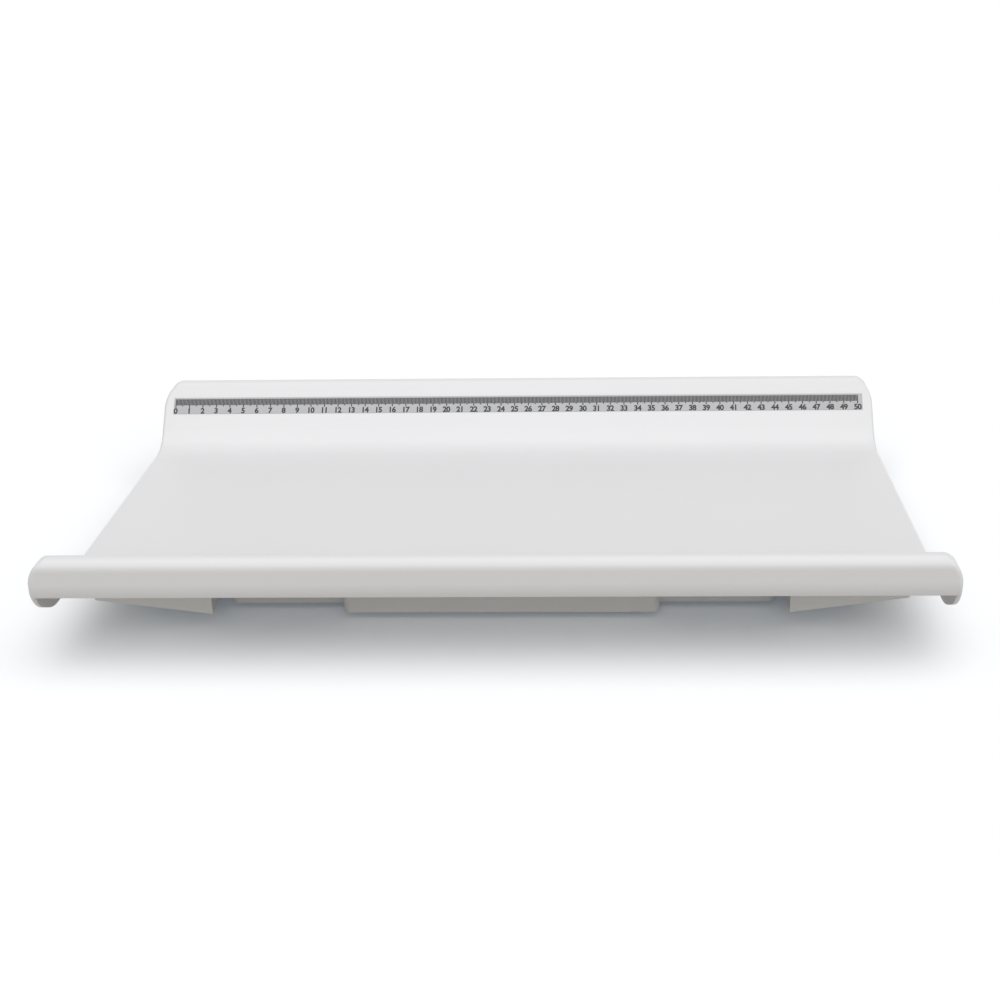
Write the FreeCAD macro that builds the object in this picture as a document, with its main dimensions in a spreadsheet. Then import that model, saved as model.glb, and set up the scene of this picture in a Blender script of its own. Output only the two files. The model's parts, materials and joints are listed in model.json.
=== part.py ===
import FreeCAD, Part
import math
import os
import re
import Sketcher
from FreeCAD import Placement, Rotation, Vector

# Digital baby weighing scale: a one-piece wave-shaped cradle that lifts off a flat base. The base
# stands on load cells and carries an operator's console behind the cradle's high wall.
# X runs along the cradle, Y from the low front rim to the console, Z up. The origin is on the
# table under the middle of the whole scale. Lengths are in millimetres, angles in degrees.

SIZES = [
    # cradle
    ("tray_width", 520, "length of the cradle along X"),
    ("tray_depth", 312, "front flange face to back flange face"),
    ("floor_height", 32.5, "top of the cradle's floor above the table"),
    ("front_rim_height", 70, "top of the low rim above the table"),
    ("back_rim_height", 72.5, "top of the high rim above the table"),
    ("rim_radius", 6.8, "outside radius of both rims"),
    ("front_slope", 50, "angle of the front wall above the floor"),
    ("back_slope", 50, "angle of the back wall above the floor"),
    ("trough_radius", 30, "radius where a wall runs into the floor"),
    ("tray_wall", 3, "wall of the cradle moulding"),
    ("end_corner_radius", 18, "rounding of the rims' ends, seen from the front"),
    ("end_corner_rise", 1.5, "how far that rounding starts above the rim"),
    ("end_edge_radius", 2.5, "edge rounding along both ends"),
    ("skirt_depth", 4, "end skirt's lower edge below the floor"),
    ("skirt_edge_radius", 1.4, "edge rounding under both ends"),
    ("nose_height", 55, "top of the skirt's rounded nose above the table"),
    ("nose_radius", 22, "radius of that nose"),
    ("nose_slope", 27, "slope of the skirt between nose and toe"),
    ("toe_radius", 30, "radius where the skirt's slope ends"),
    ("flange_depth", 23.6, "height of the long flanges below the rims"),
    ("locator_height", 1.3, "rings under the floor that centre it on the rest pads"),
    ("locator_wall", 1.5, "wall of those rings"),
    # ruler
    ("ruler_length", 505, "graduated strip along X"),
    ("ruler_width", 12.5, "graduated strip up the wall"),
    ("ruler_thickness", 0.4, "graduated strip's thickness"),
    ("ruler_climb", 33.4, "strip's middle up the wall from the floor line"),
    # rails under the cradle
    ("rail_gap", 5.5, "between the base's side and a rail's inner face"),
    ("rail_inset", 16, "rail's outer face inside the cradle's end"),
    ("rail_setback", 56, "rail's front behind the front flange"),
    ("rail_length", 190, "rail along Y"),
    ("rail_drop", 21.6, "rail's inner edge below the cradle's underside"),
    ("rail_rise", 9.5, "outer edge above inner edge"),
    ("rail_wall", 2.5, "wall of the rail moulding"),
    ("rail_boss_drop", 6, "screw bosses below the cradle's underside"),
    # base
    ("base_width", 336, "base along X"),
    ("base_depth", 200, "base's wings along Y"),
    ("base_setback", 80, "base's front behind the front flange"),
    ("base_gap", 3, "base's underside above the table"),
    ("base_corner", 5, "corner radius of the base seen from above"),
    ("spine_width", 193, "middle housing along X"),
    ("spine_lead", 13.5, "middle housing ahead of the wings"),
    ("cover_wall", 2.2, "wall of the upper cover"),
    ("plate_thickness", 2.2, "lower cover's plate"),
    ("fit_gap", 0.3, "gap round a lid in its frame"),
    ("cover_edge", 1.5, "edge rounding of the upper cover"),
    # console
    ("console_reach", 68, "console behind the back flange"),
    ("console_height", 42, "top of the console above the table"),
    ("console_hood", 24, "flat top in front of the panel"),
    ("panel_start", 2, "panel's upper edge behind the back flange"),
    ("panel_tilt", 20, "panel against the horizontal"),
    ("window_width", 66, "display window along X"),
    ("window_length", 34, "display window down the panel"),
    ("window_thickness", 1.2, "display window"),
    ("window_ledge", 3, "ledge that carries the window"),
    ("window_down", 26, "window's middle down the panel"),
    ("glass_height", 4, "display module's thickness"),
    ("board_width", 130, "circuit board along X"),
    ("board_length", 54, "circuit board down the panel"),
    ("board_thickness", 1.6, "circuit board"),
    ("board_down", 35, "circuit board's middle down the panel"),
    ("board_screw_span", 116, "board screws along X"),
    ("board_screw_pitch", 44, "board screws down the panel"),
    # keys
    ("key_width", 18, "key along X"),
    ("key_length", 10, "key down the panel"),
    ("key_proud", 0.8, "key above the panel"),
    ("key_lip", 1.4, "key's retaining lip, sideways"),
    ("key_lip_thickness", 0.9, "key's retaining lip"),
    ("key_pitch", 34, "from key to key"),
    ("key_down", 54, "keys' middle down the panel"),
    ("key_travel", 0.5, "travel of a key"),
    ("switch_side", 6.2, "square switch housing"),
    ("switch_height", 2.5, "switch housing above the board"),
    ("plunger_radius", 1.7, "switch plunger"),
    ("plunger_fit", 0.05, "plunger's running clearance"),
    # batteries
    ("cell_radius", 7.1, "battery cell's radius"),
    ("cell_length", 50.5, "battery cell with its terminal"),
    ("cell_nub", 1, "terminal's height"),
    ("cell_nub_radius", 2.75, "terminal's radius"),
    ("cell_gap", 0.4, "gap round a battery cell"),
    ("contact_thickness", 0.5, "battery contact"),
    ("contact_spring", 6, "contact spring when a cell is in"),
    ("bay_setback", 30, "battery bay's middle behind the base's front"),
    ("bay_wall", 2, "wall of the battery bay"),
    ("door_thickness", 1.4, "battery door"),
    ("door_ledge", 2.5, "ledge round the bay that the door closes on"),
    ("hinge_pin_radius", 0.5, "battery door's pins"),
    ("hinge_pin_length", 2, "battery door's pins"),
    ("hinge_fit", 0.05, "pins' running clearance"),
    # feet and load cells
    ("foot_inset", 26, "foot's middle inside the base's sides"),
    ("foot_radius", 17, "foot"),
    ("foot_height", 3.5, "foot's disc"),
    ("foot_play", 0.7, "gap round the foot in the lower cover"),
    ("foot_pad_radius", 13, "rubber sole"),
    ("foot_pad_height", 1.5, "rubber sole"),
    ("foot_post_radius", 4, "post that bears on the load cell"),
    ("foot_post_height", 4, "post above the foot's disc"),
    ("load_cell_side", 34, "square load cell"),
    ("load_cell_thickness", 1.5, "load cell"),
    ("load_cell_slot", 2, "slots that free the load cell's tongue"),
    ("load_cell_frame", 5, "load cell's outer frame"),
    ("holder_side", 42, "square load cell holder"),
    ("holder_roof", 3.5, "holder above the load cell"),
    ("holder_opening", 12, "radius of the holder's opening"),
    ("load_post_wall", 3, "wall of the posts that press on the holders"),
    ("rest_inset", 36, "rest pad's middle inside the base's sides"),
    ("rest_pad_radius", 9, "rubber rest pad"),
    ("rest_pad_sink", 0.8, "rest pad's seat in the upper cover"),
    ("rest_pad_stand", 2, "rest pad above the upper cover"),
    # screws and leads
    ("screw_radius", 1.5, "housing screw's shank"),
    ("screw_head_radius", 3.2, "housing screw's head"),
    ("screw_head_height", 1.2, "housing screw's head"),
    ("screw_fit", 0.1, "gap round a screw"),
    ("screw_bite", 9, "screw in its boss"),
    ("boss_radius", 4, "screw boss"),
    ("screw_inset", 7, "housing screw inside the middle housing's side"),
    ("board_screw_radius", 1, "board screw's shank"),
    ("board_screw_bite", 3, "board screw in its boss"),
    ("board_boss_radius", 3, "boss that carries the board"),
    ("lead_radius", 0.8, "insulated lead"),
    ("lead_pitch", 6, "from lead to lead at the circuit board"),
    ("lead_run", 14, "sensor lead's run beside a load cell holder"),
    ("lead_bend", 8, "reach of a lead's bend"),
]

doc = FreeCAD.newDocument("baby_scale")
sheet = doc.addObject("Spreadsheet::Sheet", "Sizes")
for row, (alias, number, meaning) in enumerate(SIZES, 1):
    sheet.set("A%d" % row, alias)
    sheet.set("B%d" % row, str(number))
    sheet.set("C%d" % row, meaning)
    sheet.setAlias("B%d" % row, alias)
doc.recompute()

ALIASES = {alias for alias, number, meaning in SIZES}
SUBPARTS = []

# Places that several pieces share, as expressions on the sheet.
FRONT = "(-(tray_depth + console_reach) / 2)"
BACK = "((tray_depth - console_reach) / 2)"
REAR = "((tray_depth + console_reach) / 2)"
UNDERSIDE = "(floor_height - tray_wall)"
SKIRT_BOTTOM = "(floor_height - skirt_depth)"
BASE_TOP = f"({UNDERSIDE} - rest_pad_stand)"
BASE_FRONT = f"({FRONT} + base_setback)"
BASE_BACK = f"({BASE_FRONT} + base_depth)"
SPINE_FRONT = f"({BASE_FRONT} - spine_lead)"
PLATE_TOP = "(base_gap + plate_thickness)"
PANEL_EDGE = f"({BACK} + panel_start)"
RAIL_INNER = "(base_width / 2 + rail_gap)"
RAIL_OUTER = "(tray_width / 2 - rail_inset)"
BAY_Y = f"({BASE_FRONT} + bay_setback - spine_lead)"
BAY_LENGTH = "(2 * cell_length + contact_spring + 2 * contact_thickness + cell_gap)"
BAY_WIDTH = "(4 * cell_radius + 3 * cell_gap)"
CELL_Z = f"({PLATE_TOP} + cell_gap + cell_radius)"
BAY_ROOF = f"({CELL_Z} + cell_radius + cell_gap)"
CELL_SEAT = "(foot_pad_height + foot_height + foot_post_height)"
HOLDER_LEDGE = f"({CELL_SEAT} + load_cell_thickness)"
HOLDER_TOP = f"({HOLDER_LEDGE} + holder_roof)"
BOARD_TOP = "(-(cover_wall + fit_gap + glass_height))"
SWITCH_TOP = f"({BOARD_TOP} + switch_height)"
LIP_BOTTOM = "(-(cover_wall + key_lip_thickness))"
PLUNGER_TOP = f"({SWITCH_TOP} + key_travel + fit_gap)"

KEYS = {"power": "-key_pitch", "hold": "0", "unit": "key_pitch"}
CORNERS = {"front_left": ("-", BASE_FRONT, "+"), "front_right": ("", BASE_FRONT, "+"),
           "back_left": ("-", BASE_BACK, "-"), "back_right": ("", BASE_BACK, "-")}


# ---------------------------------------------------------------- sheet, sketches and features

def linked(expression):
    """The expression with every size's name pointed at the sheet."""
    def point(word):
        return "Sizes." + word.group() if word.group() in ALIASES else word.group()
    return re.sub(r"[a-z_]\w*", point, expression)


def value(expression):
    """The number that an expression gives."""
    result = sheet.evalExpression(linked(expression))
    return float(getattr(result, "Value", result))


def bind(thing, name, expression):
    thing.setExpression(name, linked(expression))


def subpart(kind, name):
    """A new object of the document that is handed over as a piece of its own."""
    piece = doc.addObject(kind, name)
    piece.Label = name
    SUBPARTS.append(piece)
    return piece


def new_body(name):
    return subpart("PartDesign::Body", name)


def tool_body(name):
    """A body that only shapes another one."""
    return doc.addObject("PartDesign::Body", name)


def place(thing, x="0", y="0", z="0"):
    bind(thing, "Placement.Base.x", x)
    bind(thing, "Placement.Base.y", y)
    bind(thing, "Placement.Base.z", z)


def place_on_panel(thing, x="0", down="0", lift="0"):
    """Stand a piece square to the panel, x along it and down it, lift above its face."""
    thing.Placement = Placement(Vector(), Rotation(Vector(-1, 0, 0), value("panel_tilt")))
    bind(thing, "Placement.Rotation.Angle", "panel_tilt")
    y = f"{PANEL_EDGE} + ({down}) * cos(panel_tilt) + ({lift}) * sin(panel_tilt)"
    z = f"console_height - ({down}) * sin(panel_tilt) + ({lift}) * cos(panel_tilt)"
    place(thing, x, y, z)


def sketch_on(body, plane, name, lift="0"):
    """A sketch on one of the body's origin planes, lifted along the plane's normal."""
    sketch = body.newObject("Sketcher::SketchObject", f"{body.Name}_{name}")
    origin = next(item for item in body.Origin.OriginFeatures if item.Role == plane)
    sketch.AttachmentSupport = [(origin, "")]
    sketch.MapMode = "FlatFace"
    bind(sketch, "AttachmentOffset.Base.z", lift)
    return sketch


def sketch_on_panel(body, name, lift="0"):
    """A sketch parallel to the console's panel, y down the slope from the panel's upper edge."""
    sketch = sketch_on(body, "XY_Plane", name)
    sketch.AttachmentOffset = Placement(Vector(), Rotation(Vector(-1, 0, 0), value("panel_tilt")))
    bind(sketch, "AttachmentOffset.Rotation.Angle", "panel_tilt")
    bind(sketch, "AttachmentOffset.Base.y", f"{PANEL_EDGE} + ({lift}) * sin(panel_tilt)")
    bind(sketch, "AttachmentOffset.Base.z", f"console_height + ({lift}) * cos(panel_tilt)")
    return sketch


def fix_point(sketch, shape, end, x, y):
    """Hold one point of a sketch at two expressions."""
    for kind, expression in (("DistanceX", x), ("DistanceY", y)):
        rule = Sketcher.Constraint(kind, -1, 1, shape, end, value(expression))
        bind(sketch, "Constraints[%d]" % sketch.addConstraint(rule), expression)


def fix_radius(sketch, shape, expression):
    rule = Sketcher.Constraint("Radius", shape, value(expression))
    bind(sketch, "Constraints[%d]" % sketch.addConstraint(rule), expression)


def draw_circle(sketch, x, y, radius):
    circle = Part.Circle(Vector(value(x), value(y), 0), Vector(0, 0, 1), value(radius))
    shape = sketch.addGeometry(circle, False)
    fix_point(sketch, shape, 3, x, y)
    fix_radius(sketch, shape, radius)


def corner_arc(centre, start, end):
    """The short arc from start to end, and whether it runs anticlockwise."""
    first = math.atan2(start.y - centre.y, start.x - centre.x)
    last = math.atan2(end.y - centre.y, end.x - centre.x)
    anticlockwise = (last - first) % (2 * math.pi) < math.pi
    if not anticlockwise:
        first, last = last, first
    circle = Part.Circle(centre, Vector(0, 0, 1), centre.distanceToPoint(start))
    return Part.ArcOfCircle(circle, first, first + (last - first) % (2 * math.pi)), anticlockwise


def draw_outline(sketch, corners):
    """A closed outline through corners (x, y) or (x, y, radius), each an expression."""
    points = [Vector(value(corner[0]), value(corner[1]), 0) for corner in corners]
    radii = [value(corner[2]) if len(corner) > 2 else 0 for corner in corners]
    turns = []
    for index, (point, radius) in enumerate(zip(points, radii)):
        behind = (points[index - 1] - point).normalize()
        ahead = (points[(index + 1) % len(points)] - point).normalize()
        half = behind.getAngle(ahead) / 2
        reach = radius / math.tan(half)
        centre = point + (behind + ahead).normalize() * (radius / math.sin(half))
        turns.append((point + behind * reach, point + ahead * reach, centre))
    lines = []
    for index, turn in enumerate(turns):
        line = Part.LineSegment(turn[1], turns[(index + 1) % len(turns)][0])
        lines.append(sketch.addGeometry(line, False))
    for index, (start, end, centre) in enumerate(turns):
        before, after = lines[index - 1], lines[index]
        x, y = corners[index][:2]
        if not radii[index]:
            sketch.addConstraint(Sketcher.Constraint("Coincident", before, 2, after, 1))
            fix_point(sketch, after, 1, x, y)
            continue
        arc, anticlockwise = corner_arc(centre, start, end)
        shape = sketch.addGeometry(arc, False)
        first, last = (1, 2) if anticlockwise else (2, 1)
        sketch.addConstraint(Sketcher.Constraint("Tangent", before, 2, shape, first))
        sketch.addConstraint(Sketcher.Constraint("Tangent", shape, last, after, 1))
        fix_radius(sketch, shape, corners[index][2])
        corner = sketch.addGeometry(Part.Point(points[index]), True)
        fix_point(sketch, corner, 1, x, y)
        sketch.addConstraint(Sketcher.Constraint("PointOnObject", corner, 1, before))
        sketch.addConstraint(Sketcher.Constraint("PointOnObject", corner, 1, after))


def draw_rectangle(sketch, x, y, width, length, radius=None):
    """A rectangle about (x, y), with rounded corners if a radius is given."""
    left, right = f"({x}) - ({width}) / 2", f"({x}) + ({width}) / 2"
    low, high = f"({y}) - ({length}) / 2", f"({y}) + ({length}) / 2"
    corners = [(left, low), (right, low), (right, high), (left, high)]
    if radius:
        corners = [corner + (radius,) for corner in corners]
    draw_outline(sketch, corners)


def pad(sketch, length, symmetric=False, downwards=False):
    """Add material from a sketch, along its normal unless it goes downwards."""
    body = sketch.getParentGeoFeatureGroup()
    feature = body.newObject("PartDesign::Pad", sketch.Name + "_pad")
    feature.Profile = sketch
    bind(feature, "Length", length)
    feature.SideType = "Symmetric" if symmetric else "One side"
    feature.Reversed = downwards
    doc.recompute()
    return feature


def pocket(sketch, length, symmetric=False, upwards=False):
    """Cut material from a sketch, against its normal unless it goes upwards."""
    body = sketch.getParentGeoFeatureGroup()
    volume = body.Shape.Volume
    feature = body.newObject("PartDesign::Pocket", sketch.Name + "_cut")
    feature.Profile = sketch
    bind(feature, "Length", length)
    feature.SideType = "Symmetric" if symmetric else "One side"
    feature.Reversed = upwards
    doc.recompute()
    if not feature.Shape.Volume < volume:
        raise ValueError(f"{feature.Name} cuts nothing")
    return feature


def fillet(body, name, radius, picks):
    """Round the edges of the body's last feature that picks(edge, shape) accepts."""
    base = body.Tip
    names = []
    for number, edge in enumerate(base.Shape.Edges, 1):
        if picks(edge, base.Shape):
            names.append(f"Edge{number}")
    feature = body.newObject("PartDesign::Fillet", f"{body.Name}_{name}")
    feature.Base = (base, names)
    bind(feature, "Radius", radius)
    doc.recompute()
    return feature


def take_away(body, tool, name):
    """Cut one body's form out of another."""
    feature = body.newObject("PartDesign::Boolean", f"{body.Name}_{name}")
    feature.Type = "Cut"
    feature.Group = [tool]
    doc.recompute()
    return feature


def cylinder(name, radius, height, x="0", y="0", z="0"):
    shape = doc.addObject("Part::Cylinder", name)
    bind(shape, "Radius", radius)
    bind(shape, "Height", height)
    place(shape, x, y, z)
    return shape


def fused(name, shapes):
    shape = doc.addObject("Part::MultiFuse", name)
    shape.Shapes = shapes
    return shape


def group(name, shapes):
    """Several separate solids that are one sub-part."""
    piece = subpart("Part::Compound", name)
    piece.Links = shapes
    return piece


def middle(edge):
    return edge.valueAt((edge.FirstParameter + edge.LastParameter) / 2)


def is_vertical(edge):
    return abs(edge.tangentAt(edge.FirstParameter).z) > 0.999


def face_normal(face):
    first_u, last_u, first_v, last_v = face.ParameterRange
    return face.normalAt((first_u + last_u) / 2, (first_v + last_v) / 2)


# ---------------------------------------------------------------- cradle

def rim_apex(height, slope, inset):
    """Height at which the flange's face and the sloping wall would meet above the rim."""
    radius = f"(rim_radius - {inset})"
    return (f"({height} - rim_radius + {radius} * cos({slope})"
            f" + {radius} * (1 + sin({slope})) * tan({slope}))")


def wall_run(height, slope, inset):
    """How far a sloping wall runs from its flange's face to the floor's level."""
    return f"(({rim_apex(height, slope, inset)} - floor_height + {inset}) / tan({slope}))"


BACK_FOOT = f"({BACK} - {wall_run('back_rim_height', 'back_slope', '0')})"


def wave_block(body, inset, bottom):
    """The wave-shaped form, inset by a wall, with the corners of its rims' ends cut round."""
    front_face = f"({FRONT} + {inset})"
    back_face = f"({BACK} - {inset})"
    floor = f"floor_height - {inset}"
    front_run = wall_run("front_rim_height", "front_slope", inset)
    back_run = wall_run("back_rim_height", "back_slope", inset)
    section = sketch_on(body, "YZ_Plane", "section")
    draw_outline(section, [
        (front_face, rim_apex("front_rim_height", "front_slope", inset), f"rim_radius - {inset}"),
        (f"{front_face} + {front_run}", floor, f"trough_radius + {inset}"),
        (f"{back_face} - {back_run}", floor, f"trough_radius + {inset}"),
        (back_face, rim_apex("back_rim_height", "back_slope", inset), f"rim_radius - {inset}"),
        (back_face, bottom),
        (front_face, bottom)])
    pad(section, f"tray_width - 2 * {inset}", symmetric=True)
    round_rim_ends(body, "front", "front_rim_height", FRONT, inset)
    round_rim_ends(body, "back", "back_rim_height", BACK, inset)


def round_rim_ends(body, name, height, face, inset):
    """Cut the corners off one rim's ends, from its flange's face to half way across."""
    side = f"(tray_width / 2 - {inset})"
    top = f"({height} - {inset} + end_corner_rise)"
    radius = f"(end_corner_radius - {inset})"
    sketch = sketch_on(body, "XZ_Plane", f"{name}_rim_ends", f"-({face})")
    for sign in ("", "-"):
        draw_outline(sketch, [
            (f"{sign}{side}", top, radius),
            (f"{sign}({side} - {radius} - 1)", top),
            (f"{sign}({side} - {radius} - 1)", f"{top} + 5"),
            (f"{sign}({side} + 5)", f"{top} + 5"),
            (f"{sign}({side} + 5)", f"{top} - {radius} - 1"),
            (f"{sign}{side}", f"{top} - {radius} - 1")])
    pocket(sketch, "tray_depth / 2", upwards=name == "back")


def bounds_an_end(edge, shape):
    """True for an edge between an end of the wave form and its upper or flange faces."""
    faces = shape.ancestorsOfType(edge, Part.Face)
    side = [face for face in faces if is_end_face(face)]
    other = [face for face in faces if not is_end_face(face)]
    return len(side) == 1 and len(other) == 1 and face_normal(other[0]).z > -0.01


def hangs_from_an_end(edge, shape):
    """True for the outer edge between an end's flat side and the skirt's lower faces."""
    faces = shape.ancestorsOfType(edge, Part.Face)
    below = [face for face in faces if not is_end_face(face) and face_normal(face).z < -0.01]
    at_side = abs(abs(middle(edge).x) - value("tray_width / 2")) < 0.001
    return at_side and len(faces) == 2 and len(below) == 1


def is_end_face(face):
    """True for a flat end of the wave form and for the cut that rounds a rim's end."""
    if isinstance(face.Surface, Part.Cylinder):
        return abs(face.Surface.Axis.y) > 0.999
    return isinstance(face.Surface, Part.Plane) and abs(face_normal(face).x) > 0.999


def trim_nose(body, name, face, inwards):
    """Round one lower corner of the end skirts, seen from the side."""
    lead = "nose_radius * tan((90 - nose_slope) / 2)"
    run = f"((nose_height - {lead} - {SKIRT_BOTTOM}) / tan(nose_slope))"
    sketch = sketch_on(body, "YZ_Plane", f"{name}_nose")
    draw_outline(sketch, [
        (face, "nose_height + 1"),
        (face, f"nose_height - {lead}", "nose_radius"),
        (f"{face} {inwards} {run}", SKIRT_BOTTOM, "toe_radius"),
        (f"{face} {inwards} ({run} + toe_radius)", SKIRT_BOTTOM),
        (f"{face} {inwards} ({run} + toe_radius)", f"{SKIRT_BOTTOM} - 5"),
        (f"{face} {inwards} -5", f"{SKIRT_BOTTOM} - 5"),
        (f"{face} {inwards} -5", "nose_height + 1")])
    pocket(sketch, "tray_width + 2", symmetric=True)


def trim_flange(body, name, face, height):
    """Cut one long flange to its height between the end skirts."""
    sketch = sketch_on(body, "XY_Plane", f"{name}_flange")
    draw_rectangle(sketch, "0", face, "tray_width - 2 * end_edge_radius", "2 * tray_wall + 1")
    pocket(sketch, f"{height} - flange_depth", upwards=True)


def rail_screw_spots():
    """Screw positions of both rails, three to a rail."""
    spots = []
    for sign in ("", "-"):
        for share in ("1 / 8", "1 / 2", "7 / 8"):
            x = f"{sign}({RAIL_INNER} + {RAIL_OUTER}) / 2"
            spots.append((x, f"{FRONT} + rail_setback + rail_length * {share}"))
    return spots


def corner_spot(corner, inset):
    """A place inside one corner of the base's wings."""
    sign, edge, inwards = CORNERS[corner]
    return f"{sign}(base_width / 2 - {inset})", f"({edge} {inwards} {inset})"


def make_tray_shell():
    """The cradle: one wave-shaped moulding with downturned flanges and end skirts."""
    body = new_body("tray_shell")
    core = tool_body("tray_core")
    wave_block(body, "0", SKIRT_BOTTOM)
    fillet(body, "end_edges", "end_edge_radius", bounds_an_end)
    wave_block(core, "tray_wall", "0")
    take_away(body, core, "hollow")
    trim_nose(body, "front", FRONT, "+")
    trim_nose(body, "back", BACK, "-")
    trim_flange(body, "front", FRONT, "front_rim_height")
    trim_flange(body, "back", BACK, "back_rim_height")
    bosses = sketch_on(body, "XY_Plane", "bosses", f"{UNDERSIDE} - rail_boss_drop")
    pilots = sketch_on(body, "XY_Plane", "pilots", f"{UNDERSIDE} - rail_boss_drop")
    for x, y in rail_screw_spots():
        draw_circle(bosses, x, y, "boss_radius")
        draw_circle(pilots, x, y, "screw_radius + screw_fit")
    pad(bosses, "rail_boss_drop + tray_wall / 2")
    pocket(pilots, "rail_boss_drop + tray_wall / 2", upwards=True)
    rings = sketch_on(body, "XY_Plane", "locators", f"{UNDERSIDE} - locator_height")
    for corner in CORNERS:
        x, y = corner_spot(corner, "rest_inset")
        draw_circle(rings, x, y, "rest_pad_radius + fit_gap")
        draw_circle(rings, x, y, "rest_pad_radius + fit_gap + locator_wall")
    pad(rings, "locator_height + tray_wall / 2")
    fillet(body, "skirt_edges", "skirt_edge_radius", hangs_from_an_end)


def make_ruler_strip():
    """The graduated strip on the inner face of the high wall."""
    strip = subpart("Part::Box", "ruler_strip")
    bind(strip, "Length", "ruler_length")
    bind(strip, "Width", "ruler_width")
    bind(strip, "Height", "ruler_thickness")
    strip.Placement = Placement(Vector(), Rotation(Vector(1, 0, 0), value("back_slope")))
    bind(strip, "Placement.Rotation.Angle", "back_slope")
    low_edge = "(ruler_climb - ruler_width / 2)"
    place(strip, "-ruler_length / 2", f"{BACK_FOOT} + {low_edge} * cos(back_slope)",
          f"floor_height + {low_edge} * sin(back_slope)")


def rail_outline(sketch, sign, inset):
    """The rail's wedge-shaped section: low on the inside, rising outwards."""
    inner = f"({RAIL_INNER} + {inset})"
    outer = f"({RAIL_OUTER} - {inset})"
    low = f"({UNDERSIDE} - rail_drop + {inset})"
    top = UNDERSIDE if inset == "0" else f"{UNDERSIDE} + 1"
    draw_outline(sketch, [
        (f"{sign}{inner}", top),
        (f"{sign}{inner}", low, "1"),
        (f"{sign}{outer}", f"{low} + rail_rise", "1"),
        (f"{sign}{outer}", top)])


def make_rail(name, sign):
    """A hollow wedge under the cradle that straddles one side of the base."""
    body = new_body(name)
    start = f"{FRONT} + rail_setback"
    outside = sketch_on(body, "XZ_Plane", "outside", f"-({start})")
    rail_outline(outside, sign, "0")
    pad(outside, "rail_length", downwards=True)
    inside = sketch_on(body, "XZ_Plane", "inside", f"-({start} + rail_wall)")
    rail_outline(inside, sign, "rail_wall")
    pocket(inside, "rail_length - 2 * rail_wall")
    seat = f"({UNDERSIDE} - rail_drop + rail_rise / 2 + rail_wall)"
    posts = sketch_on(body, "XY_Plane", "posts", f"{seat} - rail_wall / 2")
    recesses = sketch_on(body, "XY_Plane", "recesses")
    holes = sketch_on(body, "XY_Plane", "holes", UNDERSIDE)
    spots = [(x, y) for x, y in rail_screw_spots() if x.startswith("-") == (sign == "-")]
    for x, y in spots:
        draw_circle(posts, x, y, "boss_radius + 1")
        draw_circle(recesses, x, y, "screw_head_radius + 4 * screw_fit")
        draw_circle(holes, x, y, "screw_radius + screw_fit")
    pad(posts, f"{UNDERSIDE} - rail_boss_drop - {seat} + rail_wall / 2")
    pocket(recesses, f"{seat} + screw_head_height", upwards=True)
    pocket(holes, "rail_drop")


def make_screws(name, spots, seat, length):
    """Pan-head screws driven upwards, their heads' upper faces on the seat."""
    screws = []
    for number, (x, y) in enumerate(spots, 1):
        shank = cylinder(f"{name}_shank_{number}", "screw_radius", length, x, y, seat)
        head = cylinder(f"{name}_head_{number}", "screw_head_radius", "screw_head_height",
                        x, y, f"{seat} - screw_head_height")
        screws.append(fused(f"{name}_{number}", [shank, head]))
    group(name, screws)


# ---------------------------------------------------------------- base

def base_screw_spots():
    """Screw positions of the two covers: beside the bay, half way, behind the wings, console."""
    places = [("base_width / 2 - 2 * screw_inset", f"({BASE_FRONT} + {BASE_BACK}) / 2"),
              ("spine_width / 2 - screw_inset", f"{BASE_FRONT} + 2 * screw_inset"),
              ("spine_width / 2 - screw_inset", f"{BASE_BACK} - 2 * screw_inset"),
              ("spine_width / 2 - 1.5 * screw_inset", f"{REAR} - 1.5 * screw_inset")]
    return [(f"{sign}({x})", y) for x, y in places for sign in ("", "-")]


def console_profile(inset, bottom):
    """The middle housing from the side, inset by a wall: flat, ramp, hood and tilted panel."""
    hood = f"({PANEL_EDGE} - {inset} * tan(panel_tilt / 2))"
    ramp_top = f"({PANEL_EDGE} - console_hood + {inset} * tan(22.5))"
    ramp_foot = f"({ramp_top} - console_height + {BASE_TOP})"
    rear = f"({REAR} - {inset})"
    lip = (f"(console_height - ({rear} - {PANEL_EDGE}) * tan(panel_tilt)"
           f" - {inset} / cos(panel_tilt))")
    return [(f"{SPINE_FRONT} + {inset}", bottom),
            (rear, bottom),
            (rear, lip),
            (hood, f"console_height - {inset}"),
            (ramp_top, f"console_height - {inset}"),
            (ramp_foot, f"{BASE_TOP} - {inset}"),
            (f"{SPINE_FRONT} + {inset}", f"{BASE_TOP} - {inset}")]


def base_block(body, inset, bottom):
    """The base's wings and its middle housing with the console, inset by a wall."""
    wings = sketch_on(body, "XY_Plane", "wings", bottom)
    draw_rectangle(wings, "0", f"({BASE_FRONT} + {BASE_BACK}) / 2", f"base_width - 2 * {inset}",
                   f"base_depth - 2 * {inset}", f"base_corner - {inset}")
    pad(wings, f"{BASE_TOP} - {inset} - ({bottom})")
    spine = sketch_on(body, "YZ_Plane", "spine")
    draw_outline(spine, console_profile(inset, bottom))
    pad(spine, f"spine_width - 2 * {inset}", symmetric=True)
    side = value(f"spine_width / 2 - {inset}")
    fillet(body, "corners", f"base_corner - {inset}",
           lambda edge, shape: is_spine_corner(edge, side, inset))


def is_spine_corner(edge, side, inset):
    """True for the four upright edges at the ends of the middle housing."""
    ends = (value(f"{SPINE_FRONT} + {inset}"), value(f"{REAR} - {inset}"))
    point = middle(edge)
    at_side = abs(abs(point.x) - side) < 0.001
    return is_vertical(edge) and at_side and min(abs(point.y - end) for end in ends) < 0.001


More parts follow.
